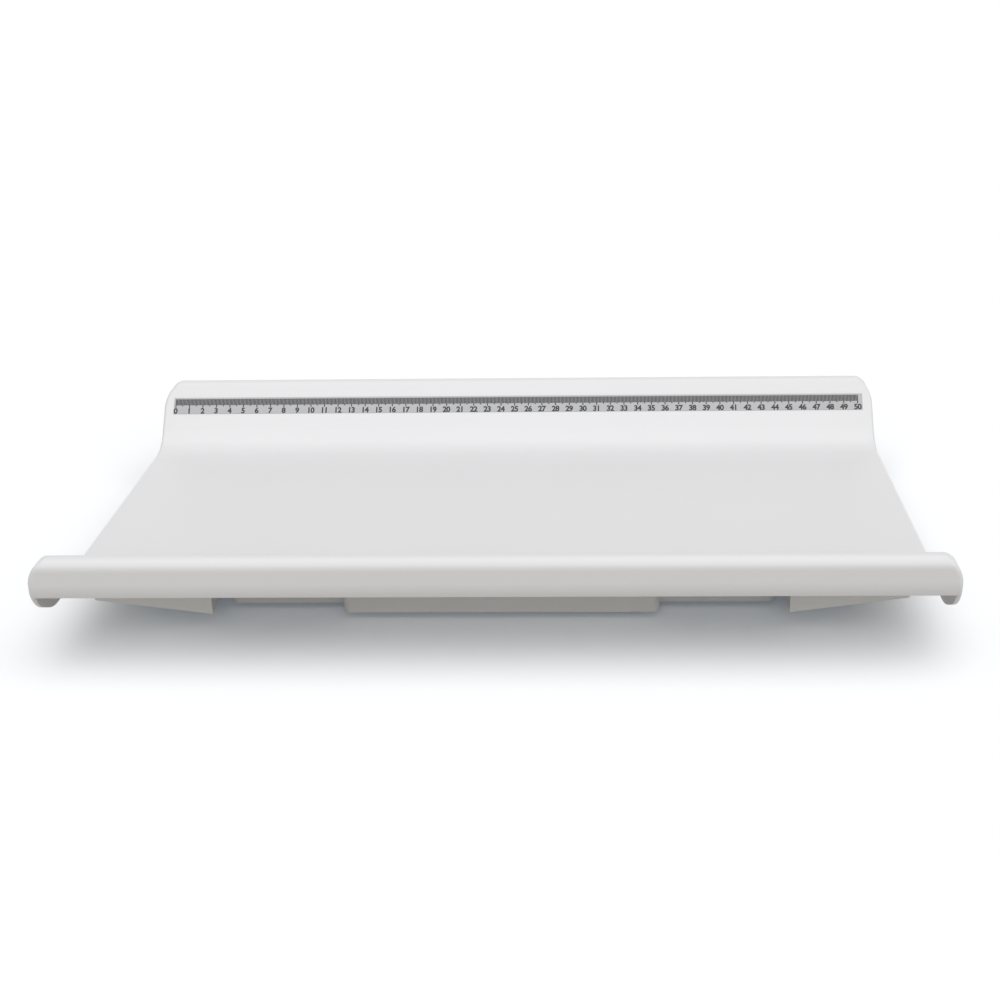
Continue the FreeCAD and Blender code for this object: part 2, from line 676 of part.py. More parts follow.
def is_upper_edge(edge, shape):
    """True for the outward edges round the tops of the wings and the console."""
    point = middle(edge)
    if is_vertical(edge) or point.z < value("base_gap") + 0.001:
        return False
    one, other = (face_normal(face) for face in shape.ancestorsOfType(edge, Part.Face))
    return not shape.isInside(point + (one - other) * 0.1, 0.001, False)


def make_top_cover():
    """The upper cover: base roof, side walls and console in one moulding."""
    body = new_body("base_top_cover")
    core = tool_body("top_cover_core")
    base_block(body, "0", "base_gap")
    fillet(body, "soft_edges", "cover_edge", is_upper_edge)
    base_block(core, "cover_wall", "base_gap - 1")
    shape_bosses(core)
    take_away(body, core, "hollow")
    pilots = sketch_on(body, "XY_Plane", "pilots", PLATE_TOP)
    for x, y in base_screw_spots():
        draw_circle(pilots, x, y, "screw_radius + screw_fit")
    pocket(pilots, "screw_bite + 1", upwards=True)
    seats = sketch_on(body, "XY_Plane", "pad_seats", BASE_TOP)
    for corner in CORNERS:
        draw_circle(seats, *corner_spot(corner, "rest_inset"), "rest_pad_radius + screw_fit")
    pocket(seats, "rest_pad_sink")
    open_panel(body)


def shape_bosses(core):
    """Bores in the core, which leave bosses and posts standing in the cover."""
    bosses = sketch_on(core, "XY_Plane", "bosses", PLATE_TOP)
    for x, y in base_screw_spots():
        draw_circle(bosses, x, y, "boss_radius")
    pocket(bosses, "console_height", upwards=True)
    posts = sketch_on(core, "XY_Plane", "load_posts", HOLDER_TOP)
    for corner in CORNERS:
        x, y = corner_spot(corner, "foot_inset")
        draw_circle(posts, x, y, "holder_opening")
        draw_circle(posts, x, y, "holder_opening + load_post_wall")
    pocket(posts, "console_height", upwards=True)
    board = sketch_on_panel(core, "board_bosses", BOARD_TOP)
    for x, down in board_screw_spots():
        draw_circle(board, x, down, "board_boss_radius")
    pocket(board, "glass_height + cover_wall", upwards=True)


def board_screw_spots():
    spots = []
    for across in ("-", ""):
        for along in ("-", "+"):
            spots.append((f"{across}board_screw_span / 2",
                          f"board_down {along} board_screw_pitch / 2"))
    return spots


def open_panel(body):
    """The window's seat and opening, the key holes and the board's screw holes."""
    seat = sketch_on_panel(body, "window_seat")
    draw_rectangle(seat, "0", "window_down", "window_width + screw_fit",
                   "window_length + screw_fit", "3")
    pocket(seat, "window_thickness")
    opening = sketch_on_panel(body, "window_opening")
    draw_rectangle(opening, "0", "window_down", "window_width - 2 * window_ledge",
                   "window_length - 2 * window_ledge", "1")
    pocket(opening, "2 * cover_wall")
    holes = sketch_on_panel(body, "key_holes")
    for x in KEYS.values():
        draw_rectangle(holes, x, "key_down", "key_width + 2 * fit_gap",
                       "key_length + 2 * fit_gap", "key_length / 2 + fit_gap - 0.01")
    pocket(holes, "2 * cover_wall")
    pilots = sketch_on_panel(body, "board_pilots", BOARD_TOP)
    for x, down in board_screw_spots():
        draw_circle(pilots, x, down, "board_screw_radius + screw_fit")
    pocket(pilots, "board_screw_bite", upwards=True)


def make_bottom_cover():
    """The lower cover: a plate inside the upper cover's walls, with the battery bay."""
    body = new_body("base_bottom_cover")
    inset = "(cover_wall + fit_gap)"
    wings = sketch_on(body, "XY_Plane", "wings", "base_gap")
    draw_rectangle(wings, "0", f"({BASE_FRONT} + {BASE_BACK}) / 2", f"base_width - 2 * {inset}",
                   f"base_depth - 2 * {inset}", f"base_corner - {inset}")
    pad(wings, "plate_thickness")
    spine = sketch_on(body, "XY_Plane", "spine", "base_gap")
    draw_rectangle(spine, "0", f"({SPINE_FRONT} + {REAR}) / 2", f"spine_width - 2 * {inset}",
                   f"{REAR} - {SPINE_FRONT} - 2 * {inset}", f"base_corner - {inset}")
    pad(spine, "plate_thickness")
    bay = sketch_on(body, "XY_Plane", "bay", "base_gap")
    draw_rectangle(bay, "0", BAY_Y, f"{BAY_LENGTH} + 2 * bay_wall", f"{BAY_WIDTH} + 2 * bay_wall")
    pad(bay, f"{BAY_ROOF} + bay_wall - base_gap")
    hollow = sketch_on(body, "XY_Plane", "bay_hollow", "base_gap")
    draw_rectangle(hollow, "0", BAY_Y, BAY_LENGTH, BAY_WIDTH)
    pocket(hollow, f"{BAY_ROOF} - base_gap", upwards=True)
    recess = sketch_on(body, "XY_Plane", "door_recess", "base_gap")
    draw_rectangle(recess, "0", BAY_Y, f"{BAY_LENGTH} + 2 * door_ledge",
                   f"{BAY_WIDTH} + 2 * door_ledge")
    pocket(recess, "door_thickness + screw_fit", upwards=True)
    open_plate(body)


def open_plate(body):
    """Foot openings, screw holes with their recesses, and the hinge pins' sockets."""
    feet = sketch_on(body, "XY_Plane", "foot_openings", "base_gap")
    for corner in CORNERS:
        draw_circle(feet, *corner_spot(corner, "foot_inset"), "foot_radius + foot_play")
    pocket(feet, "plate_thickness", upwards=True)
    holes = sketch_on(body, "XY_Plane", "screw_holes", "base_gap")
    recesses = sketch_on(body, "XY_Plane", "head_recesses", "base_gap")
    for x, y in base_screw_spots():
        draw_circle(holes, x, y, "screw_radius + screw_fit")
        draw_circle(recesses, x, y, "screw_head_radius + screw_fit")
    pocket(holes, "plate_thickness", upwards=True)
    pocket(recesses, "screw_head_height", upwards=True)
    sockets = sketch_on(body, "YZ_Plane", "pin_sockets")
    draw_circle(sockets, HINGE_Y, HINGE_Z, "hinge_pin_radius + hinge_fit")
    pocket(sockets, f"{BAY_LENGTH} + 2 * door_ledge + 2 * hinge_pin_length + fit_gap",
           symmetric=True)


HINGE_Y = f"({BAY_Y} + {BAY_WIDTH} / 2 + door_ledge - fit_gap - door_thickness / 2)"
HINGE_Z = "(base_gap + door_thickness / 2)"


def make_battery_door():
    """The battery door: a plate with a rounded hinge edge, two pins and a thumb notch."""
    body = new_body("battery_door")
    length = f"({BAY_LENGTH} + 2 * door_ledge - 2 * fit_gap)"
    front = f"({BAY_Y} - {BAY_WIDTH} / 2 - door_ledge + fit_gap)"
    half = "door_thickness / 2"
    section = sketch_on(body, "YZ_Plane", "section")
    draw_outline(section, [
        (front, "base_gap", "0.3"),
        (f"{HINGE_Y} + {half}", "base_gap", f"{half} - 0.01"),
        (f"{HINGE_Y} + {half}", "base_gap + door_thickness", f"{half} - 0.01"),
        (front, "base_gap + door_thickness", "0.3")])
    pad(section, length, symmetric=True)
    notch = sketch_on(body, "XY_Plane", "thumb_notch", "base_gap")
    draw_circle(notch, "0", f"{front} - 4", "8")
    pocket(notch, f"{half}", upwards=True)
    pins = sketch_on(body, "YZ_Plane", "pins")
    draw_circle(pins, HINGE_Y, HINGE_Z, "hinge_pin_radius")
    pad(pins, f"{length} + 2 * hinge_pin_length", symmetric=True)


# ---------------------------------------------------------------- batteries

def row_y(row):
    return f"({BAY_Y} {row} (cell_radius + cell_gap / 2))"


def make_battery(name, row, place_in_row):
    """A cylindrical cell along X; the front row points right, the back row left."""
    turn = "" if row == "-" else "-"
    start = f"({BAY_LENGTH} / 2 - contact_thickness - cell_gap / 2 - {place_in_row} * cell_length)"
    can = doc.addObject("Part::Cylinder", f"{name}_can")
    bind(can, "Radius", "cell_radius")
    bind(can, "Height", "cell_length - cell_nub")
    nub = doc.addObject("Part::Cylinder", f"{name}_nub")
    bind(nub, "Radius", "cell_nub_radius")
    bind(nub, "Height", "cell_nub")
    for piece, offset in ((can, "cell_length - cell_nub"), (nub, "0")):
        piece.Placement = Placement(Vector(), Rotation(Vector(0, 1, 0), -90 if turn == "" else 90))
        shift = f"({start})" if piece is nub else f"({start} - cell_nub)"
        place(piece, f"{turn}{shift}", row_y(row), CELL_Z)
    cell = subpart("Part::Fuse", name)
    cell.Base = can
    cell.Tool = nub


def make_battery_contacts():
    """Two end plates, one bridge plate and two coned springs."""
    end = f"({BAY_LENGTH} / 2 - contact_thickness)"
    pieces = []
    for name, x, y, width in (
            ("front", end, row_y("-"), "1.5 * cell_radius"),
            ("back", end, row_y("+"), "1.5 * cell_radius"),
            ("bridge", f"-{BAY_LENGTH} / 2", BAY_Y, "3.4 * cell_radius")):
        plate = doc.addObject("Part::Box", f"contact_{name}")
        bind(plate, "Length", "contact_thickness")
        bind(plate, "Width", width)
        bind(plate, "Height", "1.5 * cell_radius")
        place(plate, x, f"{y} - {width} / 2", f"{CELL_Z} - 0.75 * cell_radius")
        pieces.append(plate)
    springs = []
    for name, row, turn in (("front", "-", -1), ("back", "+", 1)):
        spring = doc.addObject("Part::Cone", f"spring_{name}")
        bind(spring, "Radius1", "0.7 * cell_radius")
        bind(spring, "Radius2", "cell_nub_radius")
        bind(spring, "Height", "contact_spring")
        spring.Placement = Placement(Vector(), Rotation(Vector(0, 1, 0), -90 * turn))
        place(spring, f"{turn} * {end}", row_y(row), CELL_Z)
        springs.append(spring)
    front = fused("contact_bridge_sprung", [pieces[2], springs[0]])
    back = fused("contact_back_sprung", [pieces[1], springs[1]])
    group("battery_contacts", [pieces[0], back, front])


# ---------------------------------------------------------------- feet and load cells

def make_foot(corner):
    """One corner's foot with its rubber sole, load cell and holder."""
    x, y = corner_spot(corner, "foot_inset")
    make_foot_pad(f"foot_pad_{corner}", x, y)
    make_foot_disc(f"foot_{corner}", x, y)
    make_load_cell(f"load_cell_{corner}", x, y)
    make_cell_holder(f"cell_holder_{corner}", x, y)


def make_foot_pad(name, x, y):
    body = new_body(name)
    sole = sketch_on(body, "XY_Plane", "sole")
    draw_circle(sole, "0", "0", "foot_pad_radius")
    pad(sole, "foot_pad_height")
    fillet(body, "rim", "foot_pad_height / 4", lambda edge, shape: middle(edge).z < 0.001)
    place(body, x, y)


def make_foot_disc(name, x, y):
    """The foot: a disc with a post under the load cell's tongue."""
    body = new_body(name)
    disc = sketch_on(body, "XY_Plane", "disc")
    draw_circle(disc, "0", "0", "foot_radius")
    pad(disc, "foot_height")
    fillet(body, "rim", "foot_height / 4", lambda edge, shape: len(edge.Vertexes) == 1)
    post = sketch_on(body, "XY_Plane", "post", "foot_height / 2")
    draw_circle(post, "0", "0", "foot_post_radius")
    pad(post, "foot_height / 2 + foot_post_height")
    place(body, x, y, "foot_pad_height")


def make_load_cell(name, x, y):
    """A steel plate whose tongue bends inside its frame, freed by a U-shaped slot."""
    body = new_body(name)
    plate = sketch_on(body, "XY_Plane", "plate")
    draw_rectangle(plate, "0", "0", "load_cell_side", "load_cell_side", "2")
    pad(plate, "load_cell_thickness")
    outer = "(load_cell_side / 2 - load_cell_frame)"
    inner = f"({outer} - load_cell_slot)"
    slot = sketch_on(body, "XY_Plane", "slot")
    draw_outline(slot, [
        (f"-{outer}", f"-{outer}"),
        (outer, f"-{outer}"),
        (outer, outer),
        (inner, outer),
        (inner, f"-{inner}"),
        (f"-{inner}", f"-{inner}"),
        (f"-{inner}", outer),
        (f"-{outer}", outer)])
    pocket(slot, "load_cell_thickness", upwards=True)
    place(body, x, y, CELL_SEAT)


def make_cell_holder(name, x, y):
    """A square moulding that holds a load cell's frame down and leaves its tongue free."""
    body = new_body(name)
    block = sketch_on(body, "XY_Plane", "block", PLATE_TOP)
    draw_rectangle(block, "0", "0", "holder_side", "holder_side", "4")
    pad(block, f"{HOLDER_TOP} - {PLATE_TOP}")
    seat = sketch_on(body, "XY_Plane", "seat", PLATE_TOP)
    draw_rectangle(seat, "0", "0", "load_cell_side + fit_gap", "load_cell_side + fit_gap", "2")
    pocket(seat, f"{HOLDER_LEDGE} - {PLATE_TOP}", upwards=True)
    opening = sketch_on(body, "XY_Plane", "opening", PLATE_TOP)
    draw_circle(opening, "0", "0", "holder_opening")
    pocket(opening, f"{HOLDER_TOP} - {PLATE_TOP}", upwards=True)
    place(body, x, y)


def make_rest_pad(corner):
    """A rubber disc on the upper cover that the cradle rests on."""
    x, y = corner_spot(corner, "rest_inset")
    body = new_body(f"rest_pad_{corner}")
    disc = sketch_on(body, "XY_Plane", "disc")
    draw_circle(disc, "0", "0", "rest_pad_radius")
    pad(disc, "rest_pad_sink + rest_pad_stand")
    place(body, x, y, f"{BASE_TOP} - rest_pad_sink")


# ---------------------------------------------------------------- console's inside and keys

def panel_block(name, x, down, low, width, length, height, radius):
    """A flat piece square to the panel, with its underside low above the panel's face."""
    body = new_body(name)
    outline = sketch_on(body, "XY_Plane", "outline")
    draw_rectangle(outline, "0", "0", width, length, radius)
    pad(outline, height)
    place_on_panel(body, x, down, low)
    return body


def make_display():
    panel_block("display_window", "0", "window_down", "-window_thickness", "window_width",
                "window_length", "window_thickness", "3")
    panel_block("display_module", "0", "window_down", BOARD_TOP, "window_width", "window_length",
                "glass_height", "1")


def make_board():
    """The circuit board behind the panel, with its screw holes."""
    body = panel_block("circuit_board", "0", "board_down", f"{BOARD_TOP} - board_thickness",
                       "board_width", "board_length", "board_thickness", "2")
    holes = sketch_on(body, "XY_Plane", "holes")
    for x, down in board_screw_spots():
        draw_circle(holes, x, f"{down} - board_down", "board_screw_radius + screw_fit")
    pocket(holes, "board_thickness", upwards=True)


def make_board_screws():
    screws = []
    for number, (x, down) in enumerate(board_screw_spots(), 1):
        shank = cylinder(f"board_screw_shank_{number}", "board_screw_radius",
                         "board_thickness + board_screw_bite")
        head = cylinder(f"board_screw_head_{number}", "2 * board_screw_radius",
                        "1.2 * board_screw_radius")
        seat = f"{BOARD_TOP} - board_thickness"
        place_on_panel(shank, x, down, seat)
        place_on_panel(head, x, down, f"{seat} - 1.2 * board_screw_radius")
        screws.append(fused(f"board_screw_{number}", [shank, head]))
    group("board_screws", screws)


def make_key(name, x):
    """A key with its retaining lip and the short stem that meets the switch's plunger."""
    body = new_body(f"key_{name}")
    cap = sketch_on(body, "XY_Plane", "cap", "-cover_wall")
    draw_rectangle(cap, "0", "0", "key_width", "key_length", "key_length / 2 - 0.01")
    pad(cap, "cover_wall + key_proud")
    top = value("key_proud") - 0.001
    fillet(body, "crown", "key_proud / 2", lambda edge, shape: middle(edge).z > top)
    lip = sketch_on(body, "XY_Plane", "lip", LIP_BOTTOM)
    draw_rectangle(lip, "0", "0", "key_width + 2 * key_lip", "key_length + 2 * key_lip", "2")
    pad(lip, "key_lip_thickness")
    stem = sketch_on(body, "XY_Plane", "stem", PLUNGER_TOP)
    draw_circle(stem, "0", "0", "1.5 * plunger_radius")
    pad(stem, f"{LIP_BOTTOM} - {PLUNGER_TOP} + key_lip_thickness / 2")
    place_on_panel(body, x, "key_down")


def make_switch(name, x):
    """A square push switch on the board, and its round plunger."""
    body = panel_block(f"switch_{name}", x, "key_down", BOARD_TOP, "switch_side", "switch_side",
                       "switch_height", "0.5")
    bore = sketch_on(body, "XY_Plane", "bore", "switch_height")
    draw_circle(bore, "0", "0", "plunger_radius + plunger_fit")
    pocket(bore, "0.8 * switch_height")
    plunger = new_body(f"plunger_{name}")
    disc = sketch_on(plunger, "XY_Plane", "disc")
    draw_circle(disc, "0", "0", "plunger_radius")
    sunk = "0.8 * switch_height - key_travel - fit_gap"
    pad(disc, f"{PLUNGER_TOP} - {SWITCH_TOP} + {sunk}")
    place_on_panel(plunger, x, "key_down", f"{SWITCH_TOP} - ({sunk})")


# ---------------------------------------------------------------- leads

def lead(points):
    """A round lead along straight runs, joined by arcs as large as the runs allow."""
    radius = value("lead_radius")
    edges = []
    at = points[0]
    for before, point, after in zip(points, points[1:], points[2:]):
        back, ahead = before - point, after - point
        reach = min(0.45 * back.Length, 0.45 * ahead.Length, value("lead_bend"))
        start = point + back.normalize() * reach
        end = point + ahead.normalize() * reach
        turn = math.pi - back.getAngle(ahead)
        bend = reach / math.tan(turn / 2)
        centre = point + (back + ahead).normalize() * math.hypot(reach, bend)
        mid = centre + (point - centre).normalize() * bend
        edges.append(Part.LineSegment(at, start).toShape())
        edges.append(Part.Arc(start, mid, end).toShape())
        at = end
    edges.append(Part.LineSegment(at, points[-1]).toShape())
    path = Part.Wire(edges)
    ring = Part.Wire(Part.makeCircle(radius, points[0], points[1] - points[0]))
    return path.makePipeShell([ring], True, True)


def panel_point(x, down, lift):
    """A point given in the panel's own directions."""
    tilt = math.radians(value("panel_tilt"))
    y = value(PANEL_EDGE) + down * math.cos(tilt) + lift * math.sin(tilt)
    z = value("console_height") - down * math.sin(tilt) + lift * math.cos(tilt)
    return Vector(x, y, z)


def board_entry(x, lane, level):
    """The points that take a lead straight up from the plate to the board's underside."""
    down = value(f"board_down - {lane} * lead_pitch")
    top = panel_point(x, down, value(f"{BOARD_TOP} - board_thickness"))
    top = top - Vector(0, 0, value("lead_radius"))
    return [Vector(x, top.y, level), top]


def make_sensor_leads():
    """One lead from each load cell's holder along the plate to the board."""
    level = value(f"{PLATE_TOP} + lead_radius")
    turn_y = value(f"{BASE_BACK} - foot_inset - holder_side / 2 - lead_run")
    leads = []
    for corner, lane in (("front_left", 2), ("front_right", 2), ("back_left", 1),
                         ("back_right", 1)):
        x, y = (value(spot) for spot in corner_spot(corner, "foot_inset"))
        side = math.copysign(1, x)
        start = x - side * value("holder_side / 2")
        entry_x = side * value(f"board_width / 2 - {lane} * lead_pitch")
        points = [Vector(start, y, level)]
        if corner.startswith("front"):
            aside = start - side * value("lead_run")
            points += [Vector(aside, y, level), Vector(aside, turn_y, level),
                       Vector(entry_x, turn_y, level)]
        else:
            points += [Vector(entry_x, y, level)]
        leads.append(lead(points + board_entry(entry_x, lane, level)))
    piece = subpart("Part::Feature", "sensor_leads")
    piece.Shape = Part.makeCompound(leads)


def make_battery_leads():
    """Two leads from the battery bay's wall to the board."""
    level = value(f"{PLATE_TOP} + lead_radius")
    leads = []
    for lane in (2, 3):
        x = value(f"{BAY_LENGTH} / 2 - {lane} * lead_pitch")
        start = Vector(x, value(f"{BAY_Y} + {BAY_WIDTH} / 2 + bay_wall"), level)
        leads.append(lead([start] + board_entry(x, lane, level)))
    piece = subpart("Part::Feature", "battery_leads")
    piece.Shape = Part.makeCompound(leads)


# ---------------------------------------------------------------- the whole scale

def make_scale():
    make_tray_shell()
    make_ruler_strip()
    make_rail("tray_rail_left", "-")
    make_rail("tray_rail_right", "")
    seat = f"({UNDERSIDE} - rail_drop + rail_rise / 2 + rail_wall + screw_head_height)"
    make_screws("rail_screws", rail_screw_spots(), seat, f"{UNDERSIDE} + 1 - {seat}")
    make_top_cover()
    make_bottom_cover()
    make_screws("base_screws", base_screw_spots(), "base_gap + screw_head_height",
                "plate_thickness - screw_head_height + screw_bite")
    make_battery_door()
    for name, row, place_in_row in (("battery_1", "-", 0), ("battery_2", "-", 1),
                                    ("battery_3", "+", 0), ("battery_4", "+", 1)):
        make_battery(name, row, place_in_row)
    make_battery_contacts()
    for corner in CORNERS:
        make_foot(corner)
        make_rest_pad(corner)
    make_display()
    make_board()
    make_board_screws()
    for name, x in KEYS.items():
        make_key(name, x)
        make_switch(name, x)
    make_sensor_leads()
    make_battery_leads()


def check_everything():
    """Stop on any failed object and on any empty or invalid sub-part."""
    doc.recompute()
    for item in doc.Objects:
        if "Invalid" in item.State or "Error" in item.State:
            raise RuntimeError(f"{item.Name} failed: {item.State}")
    for piece in SUBPARTS:
        if piece.Shape.isNull() or not piece.Shape.isValid() or not piece.Shape.Solids:
            raise RuntimeError(f"{piece.Label} has no valid shape")


make_scale()
check_everything()
os.makedirs("parts", exist_ok=True)
for piece in SUBPARTS:
    piece.Shape.exportStep(f"parts/{piece.Label}.step")
print(f"{len(SUBPARTS)} sub-parts written")
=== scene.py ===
"""Finishes, print, display, signs, screws, springs and stage of a digital baby weighing scale."""

import json
import math

import bmesh
import bpy
from mathutils import Matrix, Vector

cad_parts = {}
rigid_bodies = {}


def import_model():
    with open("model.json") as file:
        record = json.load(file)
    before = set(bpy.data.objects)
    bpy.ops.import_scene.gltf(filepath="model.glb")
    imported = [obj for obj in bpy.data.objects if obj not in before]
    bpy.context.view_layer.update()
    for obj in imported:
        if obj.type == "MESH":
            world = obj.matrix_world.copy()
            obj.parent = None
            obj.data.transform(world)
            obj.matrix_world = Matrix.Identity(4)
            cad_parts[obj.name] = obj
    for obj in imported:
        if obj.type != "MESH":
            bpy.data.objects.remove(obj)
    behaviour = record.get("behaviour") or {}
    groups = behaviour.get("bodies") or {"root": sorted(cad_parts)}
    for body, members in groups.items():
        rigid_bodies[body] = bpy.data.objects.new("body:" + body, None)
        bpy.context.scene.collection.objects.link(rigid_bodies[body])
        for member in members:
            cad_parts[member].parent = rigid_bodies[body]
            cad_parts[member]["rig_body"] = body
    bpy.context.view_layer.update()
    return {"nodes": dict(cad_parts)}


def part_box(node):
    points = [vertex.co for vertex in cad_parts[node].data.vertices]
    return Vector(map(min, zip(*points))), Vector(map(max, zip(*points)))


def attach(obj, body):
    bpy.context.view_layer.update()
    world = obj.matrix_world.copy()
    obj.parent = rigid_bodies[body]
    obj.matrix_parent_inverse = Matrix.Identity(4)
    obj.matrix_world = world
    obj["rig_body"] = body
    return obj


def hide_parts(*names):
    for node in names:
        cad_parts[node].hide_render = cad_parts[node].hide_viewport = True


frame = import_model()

bl_info = {
    "name": "Baby Weighing Scale",
    "version": (1, 0, 0),
    "blender": (4, 5, 0),
    "location": "3D View > Sidebar > Baby Scale",
    "description": "Dresses a digital baby weighing scale and sets it on a pale stage",
    "category": "Object",
}

MM = 0.001
CORNERS = ("front_left", "front_right", "back_left", "back_right")
KEYS = ("power", "hold", "unit")

# Points closer together than this are one point.
SAME_PLACE = 0.0001 * MM


# ---------------------------------------------------------------- settings

def colour_setting(name, description, default):
    return bpy.props.FloatVectorProperty(name=name, description=description, subtype="COLOR",
                                         size=3, min=0, max=1, default=default)


def size_setting(name, description, millimetres):
    return bpy.props.FloatProperty(name=name, description=description, subtype="DISTANCE",
                                   unit="LENGTH", default=millimetres * MM, precision=5)


def angle_setting(name, description, degrees):
    return bpy.props.FloatProperty(name=name, description=description, subtype="ANGLE",
                                   unit="ROTATION", default=math.radians(degrees))


def share_setting(name, description, default):
    return bpy.props.FloatProperty(name=name, description=description, subtype="FACTOR",
                                   min=0, max=1, default=default)


class CradleSettings(bpy.types.PropertyGroup):
    """The cradle's plastic and the ruler on its high wall."""

    colour: colour_setting("Cradle colour", "Colour of the moulded cradle", (0.75, 0.75, 0.76))
    roughness: share_setting("Cradle roughness", "How dull the cradle's surface is", 0.32)
    film_colour: colour_setting("Film colour", "Colour of the ruler's film", (0.42, 0.42, 0.43))
    ink_colour: colour_setting("Ink colour", "Colour of the ruler's print", (0.012, 0.012, 0.012))
    wall_slope: angle_setting("Wall slope", "Slope of the wall that carries the ruler", 50)
    film_thickness: size_setting("Film thickness", "Thickness of the ruler's film", 0.4)
    first_line: size_setting("First line", "Zero line from the film's left end", 1.5)
    line_top: size_setting("Line top", "Upper ends of the lines above the film's lower edge", 11.4)
    line_width: size_setting("Line width", "Width of a ruler line", 0.77)
    short_line: size_setting("Short line", "Length of a millimetre line", 4.8)
    middling_line: size_setting("Middling line", "Length of a half-centimetre line", 5.6)
    long_line: size_setting("Long line", "Length of a centimetre line", 6.6)
    number_height: size_setting("Number height", "Height of the ruler's numbers", 4.2)
    number_weight: size_setting("Number weight", "Thickening of the numbers' strokes", 0.24)
    number_foot: size_setting("Number foot", "Numbers' feet above the film's lower edge", 0.3)
    ink_thickness: size_setting("Ink thickness", "Thickness of printed ink", 0.03)
    centimetres: bpy.props.IntProperty(
        name="Centimetres", description="Length that the ruler shows", default=50, min=1)


class ConsoleSettings(bpy.types.PropertyGroup):
    """The housing behind the cradle with its display and keys."""

    colour: colour_setting("Housing colour", "Colour of the base and the console",
                           (0.87, 0.87, 0.86))
    key_colour: colour_setting("Key colour", "Colour of the keys", (0.17, 0.24, 0.31))
    panel_tilt: angle_setting("Panel tilt", "Panel against the horizontal", 20)
    window_thickness: size_setting("Window thickness", "Thickness of the clear window", 1.2)
    display_depth: size_setting("Display depth", "Display's face below the panel", 2.5)
    field_width: size_setting("Field width", "Width of the display's active field", 57)
    field_height: size_setting("Field height", "Height of the display's active field", 25)
    digit_height: size_setting("Digit height", "Height of a digit on the display", 14)
    key_drop: size_setting("Key drop", "From the window's middle to the keys' middle", 28)
    key_proud: size_setting("Key height", "Keys' faces above the panel", 0.8)
    reading: bpy.props.StringProperty(
        name="Reading", description="Number on the display", default="0.000")


class StageSettings(bpy.types.PropertyGroup):
    """The floor, the lamp and the camera."""

    room_light: bpy.props.FloatProperty(
        name="Room light", description="Even light from all sides", min=0, default=0.36)
    floor_glow: share_setting("Floor glow", "Own light of the floor, seen but not cast", 0.096)
    lamp_strength: bpy.props.FloatProperty(
        name="Lamp strength", description="Light of the large soft lamp", min=0, default=2.12)
    lamp_softness: angle_setting("Lamp softness", "How wide the lamp looks", 95)
    lamp_forward: angle_setting("Lamp forward", "Lamp's lean to the front", 28)
    lamp_aside: angle_setting("Lamp aside", "Lamp's lean to the right", 10)
    camera_place: bpy.props.FloatVectorProperty(
        name="Camera place", description="Where the camera stands", subtype="XYZ",
        unit="LENGTH", size=3, default=(0.0578, -0.9210, 0.4198))
    camera_pitch: angle_setting("Camera pitch", "Camera's tilt below the horizontal", 23.24)
    camera_heading: angle_setting("Camera heading", "Camera's turn to the left", 1.67)
    camera_roll: angle_setting("Camera roll", "Camera's turn round its own axis", -0.94)
    camera_shift: bpy.props.FloatProperty(
        name="Camera shift", description="Sideways shift, in widths of the picture",
        default=-0.0559)
    lens: bpy.props.FloatProperty(
        name="Lens", description="Focal length in millimetres", default=53.13)
    sensor: bpy.props.FloatProperty(
        name="Sensor", description="Width of the film in millimetres", default=36)


# ---------------------------------------------------------------- node graphs

class Term:
    """A value in a node graph. Sums and products of terms add their own Math nodes."""

    def __init__(self, graph, socket):
        self.graph = graph
        self.socket = socket

    def other(self, name):
        """Another output of the same node."""
        return Term(self.graph, self.socket.node.outputs[name])

    def math(self, operation, *values):
        inputs = dict(enumerate(values))
        return self.graph.node("ShaderNodeMath", {"operation": operation}, inputs)

    def __add__(self, value):
        return self.math("ADD", self, value)

    def __sub__(self, value):
        return self.math("SUBTRACT", self, value)

    def __mul__(self, value):
        return self.math("MULTIPLY", self, value)

    def __mod__(self, value):
        return self.math("FLOORED_MODULO", self, value)

    def __abs__(self):
        return self.math("ABSOLUTE", self)

    def __lt__(self, value):
        return self.math("LESS_THAN", self, value)

    def __gt__(self, value):
        return self.math("GREATER_THAN", self, value)


class Graph:
    """A node tree and the one way in which nodes are added to it."""

    def __init__(self, tree):
        self.tree = tree

    def node(self, kind, settings=None, inputs=None, output=0):
        """Add a node: its settings first, then the values or links of its sockets."""
        node = self.tree.nodes.new(kind)
        for name, value in (settings or {}).items():
            setattr(node, name, value)
        for name, value in (inputs or {}).items():
            self.feed(node.inputs[name], value)
        return Term(self, node.outputs[output]) if node.outputs else node

    def feed(self, socket, value):
        """Give a socket a value, a link or, where it takes several, a list of links."""
        if isinstance(value, list):
            for part in value:
                self.feed(socket, part)
        elif isinstance(value, Term):
            self.tree.links.new(value.socket, socket)
        else:
            socket.default_value = value

    def vector(self, x=0.0, y=0.0, z=0.0):
        return self.node("ShaderNodeCombineXYZ", {}, {"X": x, "Y": y, "Z": z})


